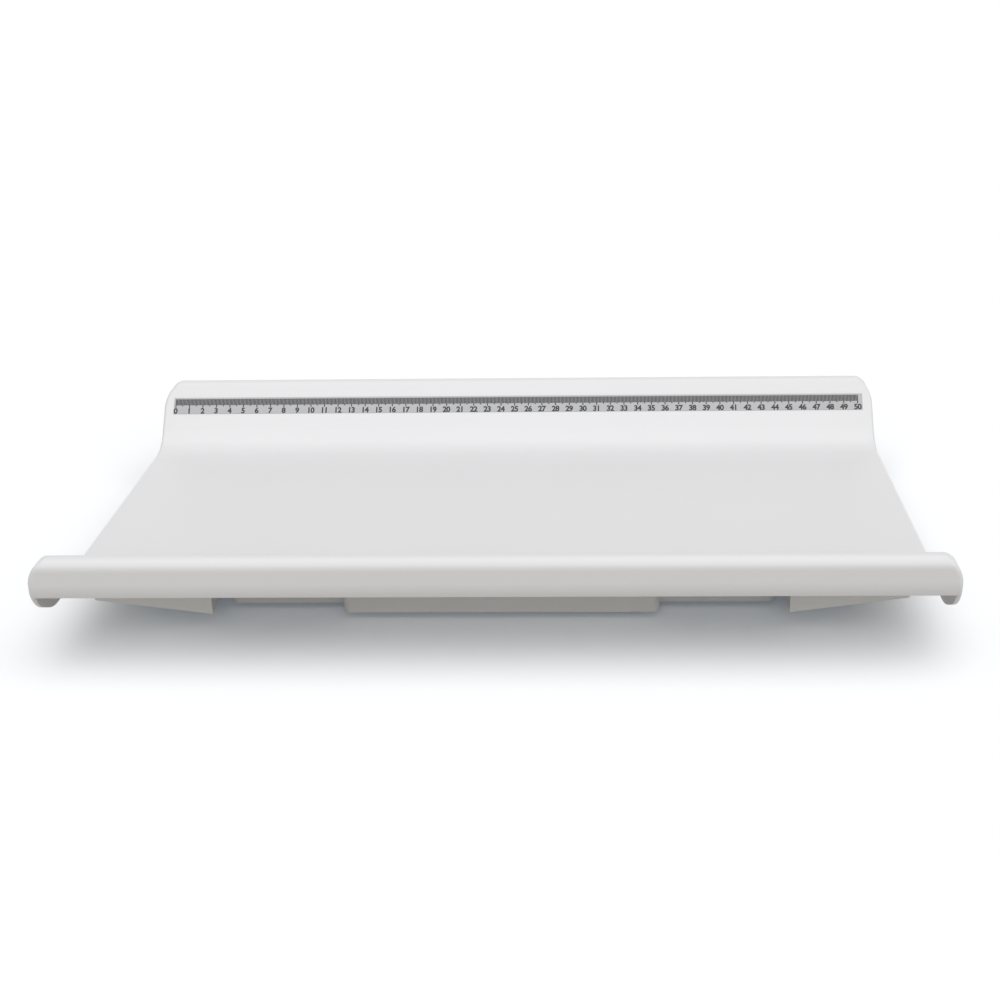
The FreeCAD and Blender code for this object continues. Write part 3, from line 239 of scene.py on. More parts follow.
class Finish(Graph):
    """A material round one Principled shader, a plain colour and roughness under its nodes."""

    # The sockets of a Mix node that mixes colours: its share, both colours and its result.
    SHARE, FIRST, SECOND, MIXED = 0, 6, 7, 2

    def __init__(self, name, colour, roughness, **constants):
        self.material = bpy.data.materials.new(name)
        self.material.use_nodes = True
        super().__init__(self.material.node_tree)
        self.shader = self.tree.nodes["Principled BSDF"]
        self.set("Base Color", (*colour, 1))
        self.set("Roughness", roughness)
        for socket, value in constants.items():
            self.set(socket.replace("_", " "), value)

    def set(self, socket, value):
        self.feed(self.shader.inputs[socket], value)

    def place(self):
        """The piece's own coordinates, in metres."""
        return self.node("ShaderNodeTexCoord", output="Object")

    def axes(self):
        """The piece's own X, Y and Z, as three terms."""
        split = self.node("ShaderNodeSeparateXYZ", {}, {"Vector": self.place()})
        return split, split.other("Y"), split.other("Z")

    def noise(self, scale, detail=2.0, stretch=(1, 1, 1)):
        """Random variation between 0 and 1, its scale to the metre."""
        spread = self.node("ShaderNodeMapping", {}, {"Vector": self.place(), "Scale": stretch})
        return self.node("ShaderNodeTexNoise", {},
                         {"Vector": spread, "Scale": scale, "Detail": detail})

    def blend(self, share, first, second):
        """A colour between two others."""
        return self.node("ShaderNodeMix", {"data_type": "RGBA"}, {
            self.SHARE: share, self.FIRST: self.opaque(first),
            self.SECOND: self.opaque(second)}, output=self.MIXED)

    @staticmethod
    def opaque(colour):
        return colour if isinstance(colour, Term) else (*colour, 1)

    def mottled(self, share, colour, darkest, lightest):
        """A colour that varies between a darker and a lighter tone of it."""
        return self.blend(share, shade(colour, darkest), shade(colour, lightest))

    def vary(self, socket, share, least, swing):
        """Let a value of the shader swing upwards from its least."""
        self.set(socket, share * swing + least)

    def relief(self, height, depth):
        """Raise and lower the surface by a term between 0 and 1, its depth in metres."""
        self.set("Normal", self.node("ShaderNodeBump", {}, {
            "Strength": 1.0, "Distance": depth, "Height": height}))


def shade(colour, factor):
    """A colour made lighter or darker."""
    return tuple(min(1.0, part * factor) for part in colour)


# ---------------------------------------------------------------- finishes

def moulded_plastic(name, colour, roughness, grain, depth):
    """Injection-moulded plastic: faint flow mottling and the fine texture of the mould."""
    swing = 0.08
    finish = Finish(name, colour, roughness)
    mottle = finish.noise(scale=9, detail=3)
    finish.set("Base Color", finish.mottled(mottle, colour, darkest=0.985, lightest=1.015))
    finish.vary("Roughness", finish.noise(scale=70), roughness - swing / 2, swing)
    finish.relief(finish.noise(grain), depth)
    return finish.material


def brushed_film(name, colour):
    """Silver-grey film, brushed along its length."""
    finish = Finish(name, colour, roughness=0.4)
    brushing = finish.noise(scale=60, detail=3, stretch=(1, 45, 45))
    finish.set("Base Color", finish.mottled(brushing, colour, darkest=0.93, lightest=1.07))
    finish.vary("Metallic", brushing, least=0.0, swing=0.2)
    finish.vary("Roughness", brushing, least=0.34, swing=0.14)
    finish.relief(brushing, depth=0.004 * MM)
    return finish.material


def printed_ink(name, colour):
    """Screen-printed ink that covers unevenly."""
    finish = Finish(name, colour, roughness=0.5)
    cover = finish.noise(scale=1500)
    finish.set("Base Color", finish.mottled(cover, colour, darkest=1.0, lightest=1.5))
    finish.vary("Roughness", cover, least=0.42, swing=0.15)
    return finish.material


def soft_rubber(name, colour):
    """Soft rubber with a dusty, open grain."""
    finish = Finish(name, colour, roughness=0.85)
    dust = finish.noise(scale=120, detail=3)
    finish.set("Base Color", finish.mottled(dust, colour, darkest=0.8, lightest=1.35))
    finish.vary("Roughness", dust, least=0.8, swing=0.12)
    finish.relief(finish.noise(scale=2600, detail=4), depth=0.02 * MM)
    return finish.material


def plated_steel(name, colour, roughness, stretch=(1, 1, 1)):
    """Plated steel with fine rolling or turning marks."""
    swing = 0.16
    finish = Finish(name, colour, roughness, Metallic=1.0)
    marks = finish.noise(scale=900, detail=3, stretch=stretch)
    stain = finish.noise(scale=150)
    finish.set("Base Color", finish.mottled(stain, colour, darkest=0.88, lightest=1.06))
    finish.vary("Roughness", marks, roughness - swing / 2, swing)
    finish.relief(marks, depth=0.006 * MM)
    return finish.material


def clear_acrylic(name):
    """Clear window with a hard, glossy face and a trace of haze."""
    finish = Finish(name, (0.95, 0.97, 0.97), roughness=0.03, IOR=1.49,
                    Transmission_Weight=1.0)
    finish.vary("Roughness", finish.noise(scale=35), least=0.01, swing=0.03)
    return finish.material


def liquid_crystal(name, settings, face):
    """A grey-green reflective field inside a darker sealed border."""
    field, border = (0.40, 0.46, 0.36), (0.13, 0.15, 0.13)
    finish = Finish(name, field, roughness=0.35)
    x, y, z = finish.axes()
    middle, upwards = face.translation, face.col[1]
    across = abs(x - middle.x)
    along = abs((y - middle.y) * upwards.y + (z - middle.z) * upwards.z)
    outside = (across > settings.field_width / 2) + (along > settings.field_height / 2)
    edge = outside > 0.5
    clouded = finish.mottled(finish.noise(scale=40), field, darkest=0.95, lightest=1.05)
    finish.set("Base Color", finish.blend(edge, clouded, border))
    finish.vary("Roughness", edge, least=0.3, swing=0.2)
    return finish.material


def solder_resist(name):
    """Green circuit board with a raster of tracks under the resist."""
    bare, track = (0.012, 0.10, 0.045), (0.02, 0.17, 0.07)
    tracks_to_metre, track_share = 450, 0.42
    finish = Finish(name, bare, roughness=0.32)
    x, y, _ = finish.axes()
    patch = finish.noise(scale=90, detail=0)
    lines = ((x * tracks_to_metre) % 1.0 < track_share) * (patch > 0.5)
    rungs = ((y * tracks_to_metre) % 1.0 < track_share) * (patch < 0.5)
    tracks = lines + rungs
    finish.set("Base Color", finish.blend(tracks, bare, track))
    finish.relief(tracks, depth=0.03 * MM)
    return finish.material


def battery_sleeve(name, tip, inwards):
    """Dark sleeve with a copper-coloured band at the positive end, and bare metal ends."""
    dark, band, metal = (0.02, 0.022, 0.03), (0.42, 0.20, 0.06), (0.62, 0.62, 0.60)
    nub_end, band_end, sleeve_end = 1.4 * MM, 15 * MM, 50.2 * MM
    finish = Finish(name, dark, roughness=0.3)
    x, _, _ = finish.axes()
    depth = (x - tip) * inwards
    sleeve = finish.blend(depth < band_end, dark, band)
    bare = (depth < nub_end) + (depth > sleeve_end)
    finish.set("Base Color", finish.blend(bare, sleeve, metal))
    finish.vary("Metallic", bare, least=0.0, swing=0.9)
    finish.vary("Roughness", finish.noise(scale=200), least=0.24, swing=0.12)
    return finish.material


def lead_sleeve(name, colour):
    """Soft insulation, slightly uneven in gloss."""
    finish = Finish(name, colour, roughness=0.4)
    uneven = finish.noise(scale=300)
    finish.set("Base Color", finish.mottled(uneven, colour, darkest=0.85, lightest=1.15))
    finish.vary("Roughness", uneven, least=0.35, swing=0.15)
    return finish.material


# ---------------------------------------------------------------- making pieces

def paint(material, *nodes):
    """Give CAD nodes a finish."""
    for node in nodes:
        for slot in frame["nodes"][node].material_slots:
            slot.material = material


def add_piece(mesh, name, beside, material=None):
    """Add a finished piece that rides with a CAD node."""
    mesh.name = name
    piece = bpy.data.objects.new(name, mesh)
    bpy.context.scene.collection.objects.link(piece)
    if material:
        mesh.materials.clear()
        mesh.materials.append(material)
    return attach(piece, frame["nodes"][beside]["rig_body"])


def built(build):
    """The mesh that build(bm) fills, with its doubles merged and its faces turned outwards."""
    bm = bmesh.new()
    build(bm)
    bmesh.ops.remove_doubles(bm, verts=bm.verts, dist=SAME_PLACE)
    bmesh.ops.recalc_face_normals(bm, faces=bm.faces)
    mesh = bpy.data.meshes.new("built")
    bm.to_mesh(mesh)
    bm.free()
    return mesh


def raise_shape(bm, outline, thickness):
    """A flat closed shape with a small thickness, its back on z = 0."""
    low = [bm.verts.new((x, y, 0)) for x, y in outline]
    high = [bm.verts.new((x, y, thickness)) for x, y in outline]
    bm.faces.new(reversed(low))
    bm.faces.new(high)
    for index, corner in enumerate(low):
        after = (index + 1) % len(low)
        bm.faces.new((corner, low[after], high[after], high[index]))


def rectangle(x, y, width, height):
    """The corners of a rectangle round a middle."""
    return [(x - width / 2, y - height / 2), (x + width / 2, y - height / 2),
            (x + width / 2, y + height / 2), (x - width / 2, y + height / 2)]


def joined(meshes):
    """Several placed meshes as one, with their doubles merged."""
    bm = bmesh.new()
    for mesh in meshes:
        bm.from_mesh(mesh)
    bmesh.ops.remove_doubles(bm, verts=bm.verts, dist=SAME_PLACE)
    whole = bpy.data.meshes.new("joined")
    bm.to_mesh(whole)
    bm.free()
    return whole


def plain_mesh(thing):
    """A curve, text or modified object as a plain mesh; the object itself goes."""
    bpy.context.scene.collection.objects.link(thing)
    graph = bpy.context.evaluated_depsgraph_get()
    mesh = bpy.data.meshes.new_from_object(thing.evaluated_get(graph))
    bpy.data.objects.remove(thing)
    return mesh


def grown(title, plan, sizes, points=()):
    """Run a geometry node plan on a few points and return what grows on them."""
    tree = bpy.data.node_groups.new(title, "GeometryNodeTree")
    tree.interface.new_socket("Geometry", in_out="INPUT", socket_type="NodeSocketGeometry")
    sockets = {}
    for name, value in sizes.items():
        kind = "NodeSocketInt" if isinstance(value, int) else "NodeSocketFloat"
        sockets[name] = tree.interface.new_socket(name, in_out="INPUT", socket_type=kind)
    tree.interface.new_socket("Geometry", in_out="OUTPUT", socket_type="NodeSocketGeometry")
    graph = Graph(tree)
    entry = graph.node("NodeGroupInput")
    graph.node("NodeGroupOutput", {}, {"Geometry": plan(graph, entry)})
    seeds = bpy.data.meshes.new(title)
    seeds.from_pydata(points, [], [])
    holder = bpy.data.objects.new(title, seeds)
    modifier = holder.modifiers.new(title, "NODES")
    modifier.node_group = tree
    for name, value in sizes.items():
        modifier[sockets[name].identifier] = value
    return plain_mesh(holder)


def made_real(graph, geometry, material):
    """End a plan: real geometry in one finish."""
    real = graph.node("GeometryNodeRealizeInstances", {}, {"Geometry": geometry})
    return graph.node("GeometryNodeSetMaterial", {}, {"Geometry": real, "Material": material})


def moved(graph, geometry, place):
    return graph.node("GeometryNodeTransform", {}, {"Geometry": geometry, "Translation": place})


def combined(graph, operation, inputs):
    """Meshes united, or some of them cut from another, as closed solids."""
    return graph.node("GeometryNodeMeshBoolean", {"operation": operation, "solver": "EXACT"},
                      inputs)


def solid_boxes(node):
    """The lowest and highest corner of each separate solid of a CAD node."""
    seam = 0.001 * MM
    bm = bmesh.new()
    bm.from_mesh(frame["nodes"][node].data)
    bmesh.ops.remove_doubles(bm, verts=bm.verts, dist=seam)
    left = set(bm.verts)
    boxes = []
    while left:
        reached = [left.pop()]
        for vertex in reached:
            around = {edge.other_vert(vertex) for edge in vertex.link_edges} & left
            reached.extend(around)
            left -= around
        spans = [sorted(vertex.co[axis] for vertex in reached) for axis in range(3)]
        boxes.append((Vector(span[0] for span in spans), Vector(span[-1] for span in spans)))
    bm.free()
    return boxes


# ---------------------------------------------------------------- cradle and ruler

class SCALE_OT_cradle(bpy.types.Operator):
    """Give the wave-shaped cradle its satin white plastic"""

    bl_idname = "baby_scale.cradle"
    bl_label = "Cradle"

    def execute(self, context):
        settings = context.scene.baby_scale_cradle
        paint(moulded_plastic("cradle_satin_white", settings.colour, settings.roughness,
                              grain=1800, depth=0.005 * MM), "tray_shell")
        return {"FINISHED"}


def film_face(settings):
    """The film's face: x along it, y up the wall, from its lower left corner."""
    low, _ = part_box("ruler_strip")
    lift = Vector((0, 0, settings.film_thickness * math.cos(settings.wall_slope)))
    return Matrix.Translation(low + lift) @ Matrix.Rotation(settings.wall_slope, 4, "X")


def every(count, number):
    """1 where a number is a multiple of the count, 0 elsewhere."""
    return number % count < 0.5


def line_plan(material):
    """A row of ruler lines: long at each tenth, middling at each fifth, short elsewhere."""
    def plan(graph, given):
        row = graph.node("GeometryNodeMeshLine", {"mode": "OFFSET"}, {
            "Count": given.other("Lines"), "Offset": graph.vector(given.other("Pitch"))})
        bar = graph.node("GeometryNodeMeshCube", {}, {
            "Size": graph.vector(given.other("Width"), 1.0, given.other("Thickness"))})
        number = graph.node("GeometryNodeInputIndex")
        short, middling = given.other("Short"), given.other("Middling")
        length = (short + every(5, number) * (middling - short)
                  + every(10, number) * (given.other("Long") - middling))
        lines = graph.node("GeometryNodeInstanceOnPoints", {}, {
            "Points": row, "Instance": moved(graph, bar, (0, -0.5, 0)),
            "Scale": graph.vector(1.0, length, 1.0)})
        return made_real(graph, lines, material)
    return plan


def number_mesh(text, settings):
    """A number as thin bold print, centred on x = 0 and standing on y = 0."""
    # A digit's height as a share of the font size, and how closely digits stand.
    height_share, spacing = 0.73, 0.92
    curve = bpy.data.curves.new("number", "FONT")
    curve.body = text
    curve.align_x = "CENTER"
    curve.size = settings.number_height / height_share
    curve.space_character = spacing
    curve.offset = settings.number_weight
    curve.extrude = settings.ink_thickness / 2
    curve.resolution_u = 3
    return plain_mesh(bpy.data.objects.new("number", curve))


class SCALE_OT_ruler(bpy.types.Operator):
    """Print the ruler's lines and numbers on the film of the high wall"""

    bl_idname = "baby_scale.ruler"
    bl_label = "Ruler"

    def execute(self, context):
        settings = context.scene.baby_scale_cradle
        paint(brushed_film("ruler_silver_film", settings.film_colour), "ruler_strip")
        ink = printed_ink("ruler_ink", settings.ink_colour)
        face = film_face(settings)
        per_centimetre, pitch = 10, 1.0 * MM
        lines = grown("ruler_lines", line_plan(ink), {
            "Lines": settings.centimetres * per_centimetre + 1, "Pitch": pitch,
            "Width": settings.line_width, "Thickness": settings.ink_thickness,
            "Short": settings.short_line, "Middling": settings.middling_line,
            "Long": settings.long_line})
        start = Vector((settings.first_line, settings.line_top, 0))
        lines.transform(face @ Matrix.Translation(start))
        add_piece(lines, "ruler_lines", "ruler_strip")
        numbers = []
        for centimetre in range(settings.centimetres + 1):
            number = number_mesh(str(centimetre), settings)
            along = settings.first_line + per_centimetre * pitch * centimetre
            foot = Vector((along, settings.number_foot, 0))
            number.transform(face @ Matrix.Translation(foot))
            numbers.append(number)
        add_piece(joined(numbers), "ruler_numbers", "ruler_strip", ink)
        return {"FINISHED"}


# ---------------------------------------------------------------- housing and console

class SCALE_OT_housing(bpy.types.Operator):
    """Give the base, the rails and the battery door their textured white plastic"""

    bl_idname = "baby_scale.housing"
    bl_label = "Housing"

    def execute(self, context):
        settings = context.scene.baby_scale_console
        plastic = moulded_plastic("housing_textured_white", settings.colour, roughness=0.48,
                                  grain=1400, depth=0.015 * MM)
        paint(plastic, "base_top_cover", "base_bottom_cover", "tray_rail_left",
              "tray_rail_right", "battery_door")
        return {"FINISHED"}


def panel_face(settings):
    """The window's middle on the panel as its reader sees it: x right, y up, z out."""
    low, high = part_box("display_window")
    tilt, thickness = settings.panel_tilt, settings.window_thickness
    edge = Vector((0, low.y + thickness * math.sin(tilt), high.z))
    length = (high.y - edge.y) / math.cos(tilt)
    turn = Matrix.Rotation(math.pi, 4, "Z") @ Matrix.Rotation(tilt, 4, "X")
    return Matrix.Translation(edge) @ turn @ Matrix.Translation((0, -length / 2, 0))


# The seven bars of a digit: the middle in widths and half heights, and whether it is upright.
BARS = {"a": (0.5, 2, False), "b": (1, 1.5, True), "c": (1, 0.5, True), "d": (0.5, 0, False),
        "e": (0, 0.5, True), "f": (0, 1.5, True), "g": (0.5, 1, False)}
DIGITS = {"0": "abcdef", "1": "bc", "2": "abdeg", "3": "abcdg", "4": "bcfg", "5": "acdfg",
          "6": "acdefg", "7": "abc", "8": "abcdefg", "9": "abcdfg"}

# How far a digit leans to the right, as a share of the height.
LEAN = 0.1


def bar_outline(x, y, upright, length, width):
    """A bar with pointed ends, leaning to the right."""
    gap = 0.3 * width
    reach, side = length / 2 - gap, width / 2
    points = [(-reach, 0), (side - reach, -side), (reach - side, -side), (reach, 0),
              (reach - side, side), (side - reach, side)]
    if upright:
        points = [(-across, along) for along, across in points]
    return [(x + across + LEAN * (y + along), y + along) for across, along in points]


def draw_reading(bm, text, height, thickness):
    """The reading's bars and point, centred on x = 0 and y = 0."""
    wide, advance, bar = 0.46 * height, 0.8 * height, 0.12 * height
    count = len(text.replace(".", ""))
    x = -(count * advance - (advance - wide)) / 2 - LEAN * height / 2
    foot = -height / 2
    for letter in text:
        if letter == ".":
            raise_shape(bm, rectangle(x - (advance - wide) / 2, foot, bar, bar), thickness)
            continue
        for name in DIGITS[letter]:
            share, step, upright = BARS[name]
            length = height / 2 if upright else wide
            raise_shape(bm, bar_outline(x + share * wide, foot + step * height / 2, upright,
                                        length, bar), thickness)
        x += advance


def draw_power_sign(bm, thickness):
    """An open ring with an upright bar."""
    outer, inner, steps = 2.2 * MM, 1.7 * MM, 24
    bar_middle, bar_width, bar_length = 1.4 * MM, 0.5 * MM, 2.2 * MM
    gap = math.radians(35)
    sweep = 2 * math.pi - 2 * gap
    ring = [math.pi / 2 + gap + sweep * step / steps for step in range(steps + 1)]
    outline = [(outer * math.cos(angle), outer * math.sin(angle)) for angle in ring]
    outline += [(inner * math.cos(angle), inner * math.sin(angle)) for angle in reversed(ring)]
    raise_shape(bm, outline, thickness)
    raise_shape(bm, rectangle(0, bar_middle, bar_width, bar_length), thickness)


def draw_hold_sign(bm, thickness):
    """Two upright bars."""
    aside, width, length = 0.9 * MM, 0.7 * MM, 3.6 * MM
    for x in (-aside, aside):
        raise_shape(bm, rectangle(x, 0, width, length), thickness)


def draw_unit_sign(bm, thickness):
    """Two arrows, one each way."""
    back, aside, length, width = 0.6 * MM, 0.9 * MM, 4 * MM, 0.45 * MM
    neck, tip, barb = 1.3 * MM, 2.9 * MM, 1.8 * MM
    for way in (1, -1):
        raise_shape(bm, rectangle(-back * way, aside * way, length, width), thickness)
        raise_shape(bm, [(neck * way, 0), (tip * way, aside * way), (neck * way, barb * way)],
                    thickness)


SIGNS = {"power": draw_power_sign, "hold": draw_hold_sign, "unit": draw_unit_sign}


class SCALE_OT_console(bpy.types.Operator):
    """Finish the display with its reading, the keys with their signs and what is behind them"""

    bl_idname = "baby_scale.console"
    bl_label = "Console"

    def execute(self, context):
        settings = context.scene.baby_scale_console
        face = panel_face(settings)
        paint(clear_acrylic("window_clear"), "display_window")
        paint(liquid_crystal("display_grey_green", settings, face), "display_module")
        paint(solder_resist("board_green"), "circuit_board")
        keys = moulded_plastic("key_slate_blue", settings.key_colour, roughness=0.5,
                               grain=2600, depth=0.01 * MM)
        paint(keys, *(f"key_{name}" for name in KEYS))
        black = moulded_plastic("switch_black", (0.015, 0.015, 0.016), roughness=0.45,
                                grain=2600, depth=0.01 * MM)
        paint(black, *(f"{part}_{name}" for part in ("switch", "plunger") for name in KEYS))
        self.add_reading(settings, face)
        self.add_signs(settings, face)
        return {"FINISHED"}

    @staticmethod
    def add_reading(settings, face):
        thickness = 0.04 * MM
        reading = built(lambda bm: draw_reading(bm, settings.reading, settings.digit_height,
                                                thickness))
        reading.transform(face @ Matrix.Translation((0, 0, -settings.display_depth)))
        add_piece(reading, "display_reading", "display_module",
                  printed_ink("display_segment", (0.012, 0.015, 0.012)))

    @staticmethod
    def add_signs(settings, face):
        white = printed_ink("sign_white", (0.72, 0.74, 0.75))
        thickness = 0.03 * MM
        for name, draw in SIGNS.items():
            low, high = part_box(f"key_{name}")
            sign = built(lambda bm: draw(bm, thickness))
            middle = Vector((-(low.x + high.x) / 2, -settings.key_drop, settings.key_proud))
            sign.transform(face @ Matrix.Translation(middle))
            add_piece(sign, f"sign_{name}", f"key_{name}", white)


# ---------------------------------------------------------------- screws, batteries and feet

def screw_plan(material):
    """A pan-head screw with a cross recess on each point, driven upwards."""
    head_sides, shank_sides = 32, 20
    # Shares of the head's radius: its face and the arms of its recess.
    face_radius, arm_length, arm_width = 0.85, 1.25, 0.28
    # Shares of the head's height: its crown, its flank, the flank's middle and the recess's arms.
    crown_height, flank_height, flank_middle, arm_height = 0.4, 0.6, 0.7, 1.3

    def plan(graph, given):
        radius, height = given.other("Head radius"), given.other("Head height")
        shank, length = given.other("Shank radius"), given.other("Shank length")
        crown = graph.node("GeometryNodeMeshCone", {}, {
            "Vertices": head_sides, "Radius Top": radius, "Radius Bottom": radius * face_radius,
            "Depth": height * crown_height})
        flank = graph.node("GeometryNodeMeshCylinder", {}, {
            "Vertices": head_sides, "Radius": radius, "Depth": height * flank_height})
        flank = moved(graph, flank, graph.vector(z=height * flank_middle))
        head = combined(graph, "UNION", {"Mesh 2": [crown, flank]})
        arms = [graph.node("GeometryNodeMeshCube", {}, {
            "Size": graph.vector(radius * x, radius * y, height * arm_height)})
            for x, y in ((arm_length, arm_width), (arm_width, arm_length))]
        head = combined(graph, "DIFFERENCE", {"Mesh 1": head, "Mesh 2": arms})
        rod = graph.node("GeometryNodeMeshCylinder", {}, {
            "Vertices": shank_sides, "Radius": shank, "Depth": length})
        rod = moved(graph, rod, graph.vector(z=height + length * 0.5))
        screw = graph.node("GeometryNodeJoinGeometry", {}, {"Geometry": [head, rod]})
        screws = graph.node("GeometryNodeInstanceOnPoints", {}, {
            "Points": given.other("Geometry"), "Instance": screw})
        return made_real(graph, screws, material)
    return plan


class SCALE_OT_screws(bpy.types.Operator):
    """Put a screw with a cross recess in place of each plain housing screw"""

    bl_idname = "baby_scale.screws"
    bl_label = "Screws"

    def execute(self, context):
        head_height, shank_radius = 1.2 * MM, 1.5 * MM
        steel = plated_steel("screw_zinc", (0.55, 0.55, 0.54), roughness=0.36)
        paint(steel, "board_screws")
        for node in ("base_screws", "rail_screws"):
            boxes = solid_boxes(node)
            feet = [((low.x + high.x) / 2, (low.y + high.y) / 2, low.z) for low, high in boxes]
            low, high = boxes[0]
            screws = grown(f"{node}_recessed", screw_plan(steel), {
                "Head radius": (high.x - low.x) / 2, "Head height": head_height,
                "Shank radius": shank_radius,
                "Shank length": high.z - low.z - head_height}, feet)
            piece = add_piece(screws, f"{node}_recessed", node)
            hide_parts(node)
        return {"FINISHED"}


def spring_plan(material):
    """A coned coil spring along Z on each point, its wide end at the point."""
    def plan(graph, given):
        coil = graph.node("GeometryNodeCurveSpiral", {}, {
            "Resolution": 20, "Rotations": given.other("Turns"),
            "Start Radius": given.other("Wide radius"), "End Radius": given.other("Narrow radius"),
            "Height": given.other("Height"), "Reverse": False})
        wire = graph.node("GeometryNodeCurvePrimitiveCircle", {"mode": "RADIUS"}, {
            "Resolution": 8, "Radius": given.other("Wire radius")})
        tube = graph.node("GeometryNodeCurveToMesh", {}, {
            "Curve": coil, "Profile Curve": wire, "Fill Caps": True})
        springs = graph.node("GeometryNodeInstanceOnPoints", {}, {
            "Points": given.other("Geometry"), "Instance": tube})
        return made_real(graph, springs, material)
    return plan


def contact_meshes(steel):
    """Battery contacts: a plate for each CAD solid, and a spring where the solid has one."""
    plate, wire = 0.5 * MM, 0.35 * MM
    boxes = solid_boxes("battery_contacts")
    bare = next(box for box in boxes if box[1].x - box[0].x < 2 * plate)
    meshes = []
    for low, high in boxes:
        way = -1 if low.x > 0 else 1
        outer = high.x if way < 0 else low.x
        width, height = high.y - low.y, high.z - low.z
        middle = Vector((outer, (low.y + high.y) / 2, (low.z + high.z) / 2))
        turn = Matrix.Rotation(way * math.pi / 2, 4, "Y")
        sheet = built(lambda bm: raise_shape(bm, rectangle(0, 0, height, width), plate))
        sheet.materials.append(steel)
        sheet.transform(Matrix.Translation(middle) @ turn)
        meshes.append(sheet)
        if high.x - low.x > 2 * plate:
            spans_both = width > 1.5 * (bare[1].y - bare[0].y)
            row = (bare[0].y + bare[1].y) / 2 if spans_both else middle.y
            spring = grown("battery_spring", spring_plan(steel), {
                "Turns": 4.5, "Wide radius": 4.6 * MM, "Narrow radius": 2.2 * MM,
                "Height": high.x - low.x - plate - 2 * wire, "Wire radius": wire}, [(0, 0, 0)])
            foot = Vector((outer + way * (plate + wire), row, middle.z))
            spring.transform(Matrix.Translation(foot) @ turn)
            meshes.append(spring)
    return meshes


class SCALE_OT_batteries(bpy.types.Operator):
    """Finish the battery cells, their sprung contacts and the leads"""

    bl_idname = "baby_scale.batteries"
    bl_label = "Batteries and leads"

    def execute(self, context):
        for number, inwards in ((1, -1), (2, -1), (3, 1), (4, 1)):
            node = f"battery_{number}"
            low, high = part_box(node)
            tip = low.x if inwards > 0 else high.x
            paint(battery_sleeve(f"battery_sleeve_{number}", tip, inwards), node)
        steel = plated_steel("contact_nickel", (0.66, 0.64, 0.60), roughness=0.3)
        contacts = joined(contact_meshes(steel))
        piece = add_piece(contacts, "battery_contacts_sprung", "battery_contacts",
                          steel)
        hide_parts("battery_contacts")
        paint(lead_sleeve("sensor_lead_white", (0.62, 0.62, 0.60)), "sensor_leads")
        paint(lead_sleeve("battery_lead_red", (0.45, 0.02, 0.015)), "battery_leads")
        return {"FINISHED"}


class SCALE_OT_feet(bpy.types.Operator):
    """Finish the feet, the load cells and the pads that carry the cradle"""

    bl_idname = "baby_scale.feet"
    bl_label = "Feet and load cells"

    def execute(self, context):
        sole = soft_rubber("sole_dark_grey", (0.05, 0.05, 0.052))
        paint(sole, *(f"foot_pad_{corner}" for corner in CORNERS))
        pad = soft_rubber("rest_pad_grey", (0.22, 0.22, 0.22))
        paint(pad, *(f"rest_pad_{corner}" for corner in CORNERS))
        grey = moulded_plastic("holder_light_grey", (0.5, 0.5, 0.5), roughness=0.5,
                               grain=1600, depth=0.015 * MM)
        paint(grey, *(f"{part}_{corner}" for part in ("foot", "cell_holder")
                      for corner in CORNERS))
        steel = plated_steel("load_cell_steel", (0.56, 0.56, 0.55), roughness=0.34,
                             stretch=(1, 12, 1))
        paint(steel, *(f"load_cell_{corner}" for corner in CORNERS))
        return {"FINISHED"}


# ---------------------------------------------------------------- stage

def seen_directly(graph):
    """1 for what the eye sees, also in a mirror or through glass; 0 for light on surfaces."""
    eye = graph.node("ShaderNodeLightPath", output="Is Camera Ray")
    return eye.math("MINIMUM", eye + eye.other("Is Glossy Ray")
                    + eye.other("Is Transmission Ray"), 1.0)


def pale_floor(glow):
    """A warm pale floor that looks white, glows faintly and keeps the scale's soft shadow."""
    warm, white = (0.47, 0.445, 0.405), (1.0, 1.0, 1.0)
    black, cool = (0.0, 0.0, 0.0), (0.67, 0.83, 1.0)
    finish = Finish("floor_pale", warm, roughness=0.9, Specular_IOR_Level=0.0,
                    Emission_Strength=glow)
    seen = seen_directly(finish)
    finish.set("Base Color", finish.blend(seen, warm, white))
    finish.set("Emission Color", finish.blend(seen, black, cool))
    return finish.material


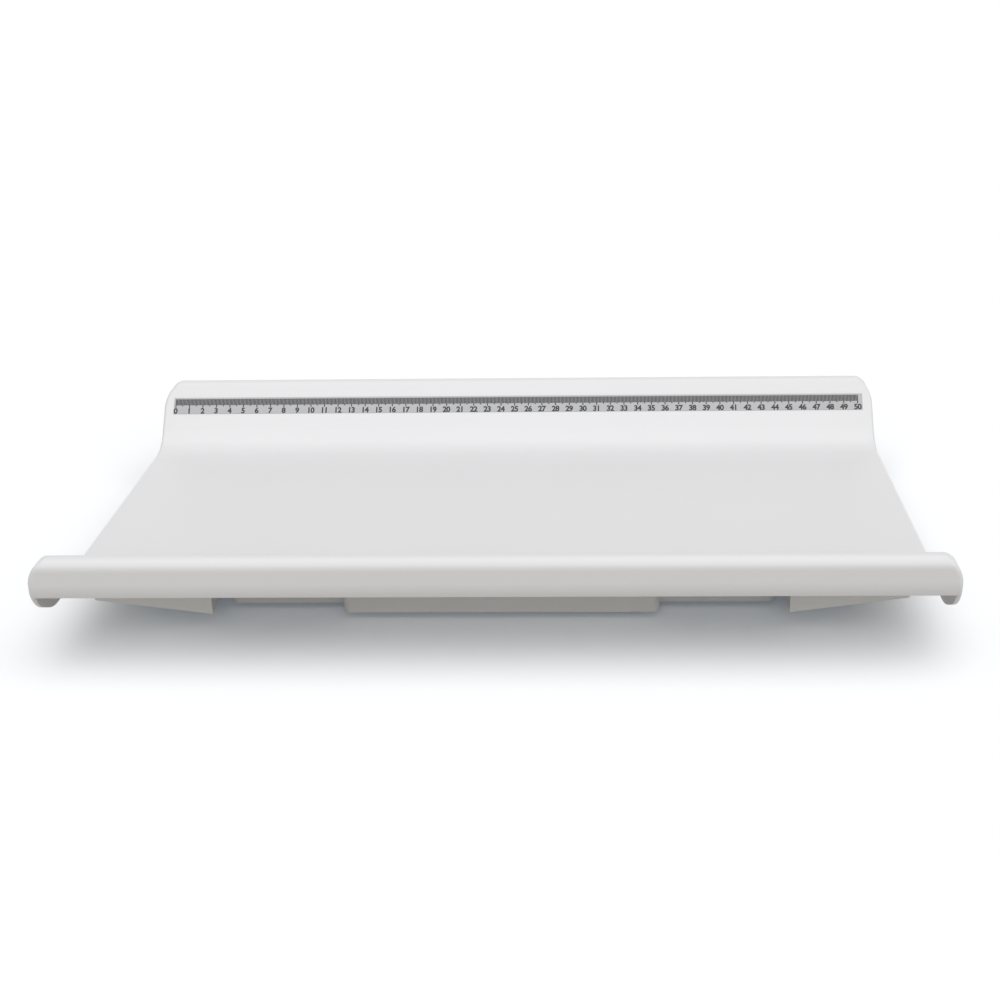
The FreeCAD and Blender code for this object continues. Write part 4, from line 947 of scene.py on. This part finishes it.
class SCALE_OT_stage(bpy.types.Operator):
    """Set up the pale floor, the soft lamp, the even room light and the camera"""

    bl_idname = "baby_scale.stage"
    bl_label = "Stage"

    def execute(self, context):
        settings = context.scene.baby_scale_stage
        context.scene.view_settings.view_transform = "Standard"
        self.add_floor(context.scene, settings.floor_glow)
        self.add_lamp(context.scene, settings)
        self.light_room(context.scene, settings.room_light)
        self.add_camera(context.scene, settings)
        return {"FINISHED"}

    @staticmethod
    def add_floor(scene, glow):
        reach = 30
        mesh = built(lambda bm: bmesh.ops.create_grid(bm, x_segments=1, y_segments=1, size=reach))
        mesh.materials.append(pale_floor(glow))
        floor = bpy.data.objects.new("floor", mesh)
        scene.collection.objects.link(floor)

    @staticmethod
    def add_lamp(scene, settings):
        light = bpy.data.lights.new("soft_lamp", "SUN")
        light.energy = settings.lamp_strength
        light.angle = settings.lamp_softness
        lamp = bpy.data.objects.new("soft_lamp", light)
        lamp.rotation_euler = (settings.lamp_forward, settings.lamp_aside, 0)
        scene.collection.objects.link(lamp)

    @staticmethod
    def light_room(scene, strength):
        scene.world = bpy.data.worlds.new("room")
        scene.world.use_nodes = True
        room = Graph(scene.world.node_tree)
        background = room.tree.nodes["Background"]
        room.feed(background.inputs["Color"], (1, 1, 1, 1))
        room.feed(background.inputs["Strength"], seen_directly(room) * (1 - strength) + strength)

    @staticmethod
    def add_camera(scene, settings):
        data = bpy.data.cameras.new("camera")
        data.lens = settings.lens
        data.sensor_width = settings.sensor
        data.shift_x = settings.camera_shift
        camera = bpy.data.objects.new("camera", data)
        camera.matrix_world = (Matrix.Translation(settings.camera_place)
                               @ Matrix.Rotation(settings.camera_heading, 4, "Z")
                               @ Matrix.Rotation(math.pi / 2 - settings.camera_pitch, 4, "X")
                               @ Matrix.Rotation(settings.camera_roll, 4, "Z"))
        scene.collection.objects.link(camera)
        scene.camera = camera


# ---------------------------------------------------------------- panel and registration

class SCALE_PT_panel(bpy.types.Panel):
    """Sizes, colours and steps of the scale"""

    bl_label = "Baby Scale"
    bl_idname = "SCALE_PT_panel"
    bl_space_type = "VIEW_3D"
    bl_region_type = "UI"
    bl_category = "Baby Scale"

    def draw(self, context):
        for group in SETTINGS:
            box = self.layout.box()
            settings = getattr(context.scene, group)
            for name in settings.__annotations__:
                box.prop(settings, name)
        for step in STEPS:
            self.layout.operator(step.bl_idname)


SETTINGS = {"baby_scale_cradle": CradleSettings, "baby_scale_console": ConsoleSettings,
            "baby_scale_stage": StageSettings}
STEPS = (SCALE_OT_cradle, SCALE_OT_ruler, SCALE_OT_housing, SCALE_OT_console, SCALE_OT_screws,
         SCALE_OT_batteries, SCALE_OT_feet, SCALE_OT_stage)


def register():
    for name, group in SETTINGS.items():
        bpy.utils.register_class(group)
        setattr(bpy.types.Scene, name, bpy.props.PointerProperty(type=group))
    for kind in (*STEPS, SCALE_PT_panel):
        bpy.utils.register_class(kind)


def unregister():
    for kind in (SCALE_PT_panel, *reversed(STEPS)):
        bpy.utils.unregister_class(kind)
    for name, group in SETTINGS.items():
        delattr(bpy.types.Scene, name)
        bpy.utils.unregister_class(group)


def main():
    """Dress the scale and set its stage."""
    register()
    for step in STEPS:
        name = step.bl_idname.split(".")[1]
        getattr(bpy.ops.baby_scale, name)()


if __name__ == "__main__":
    main()
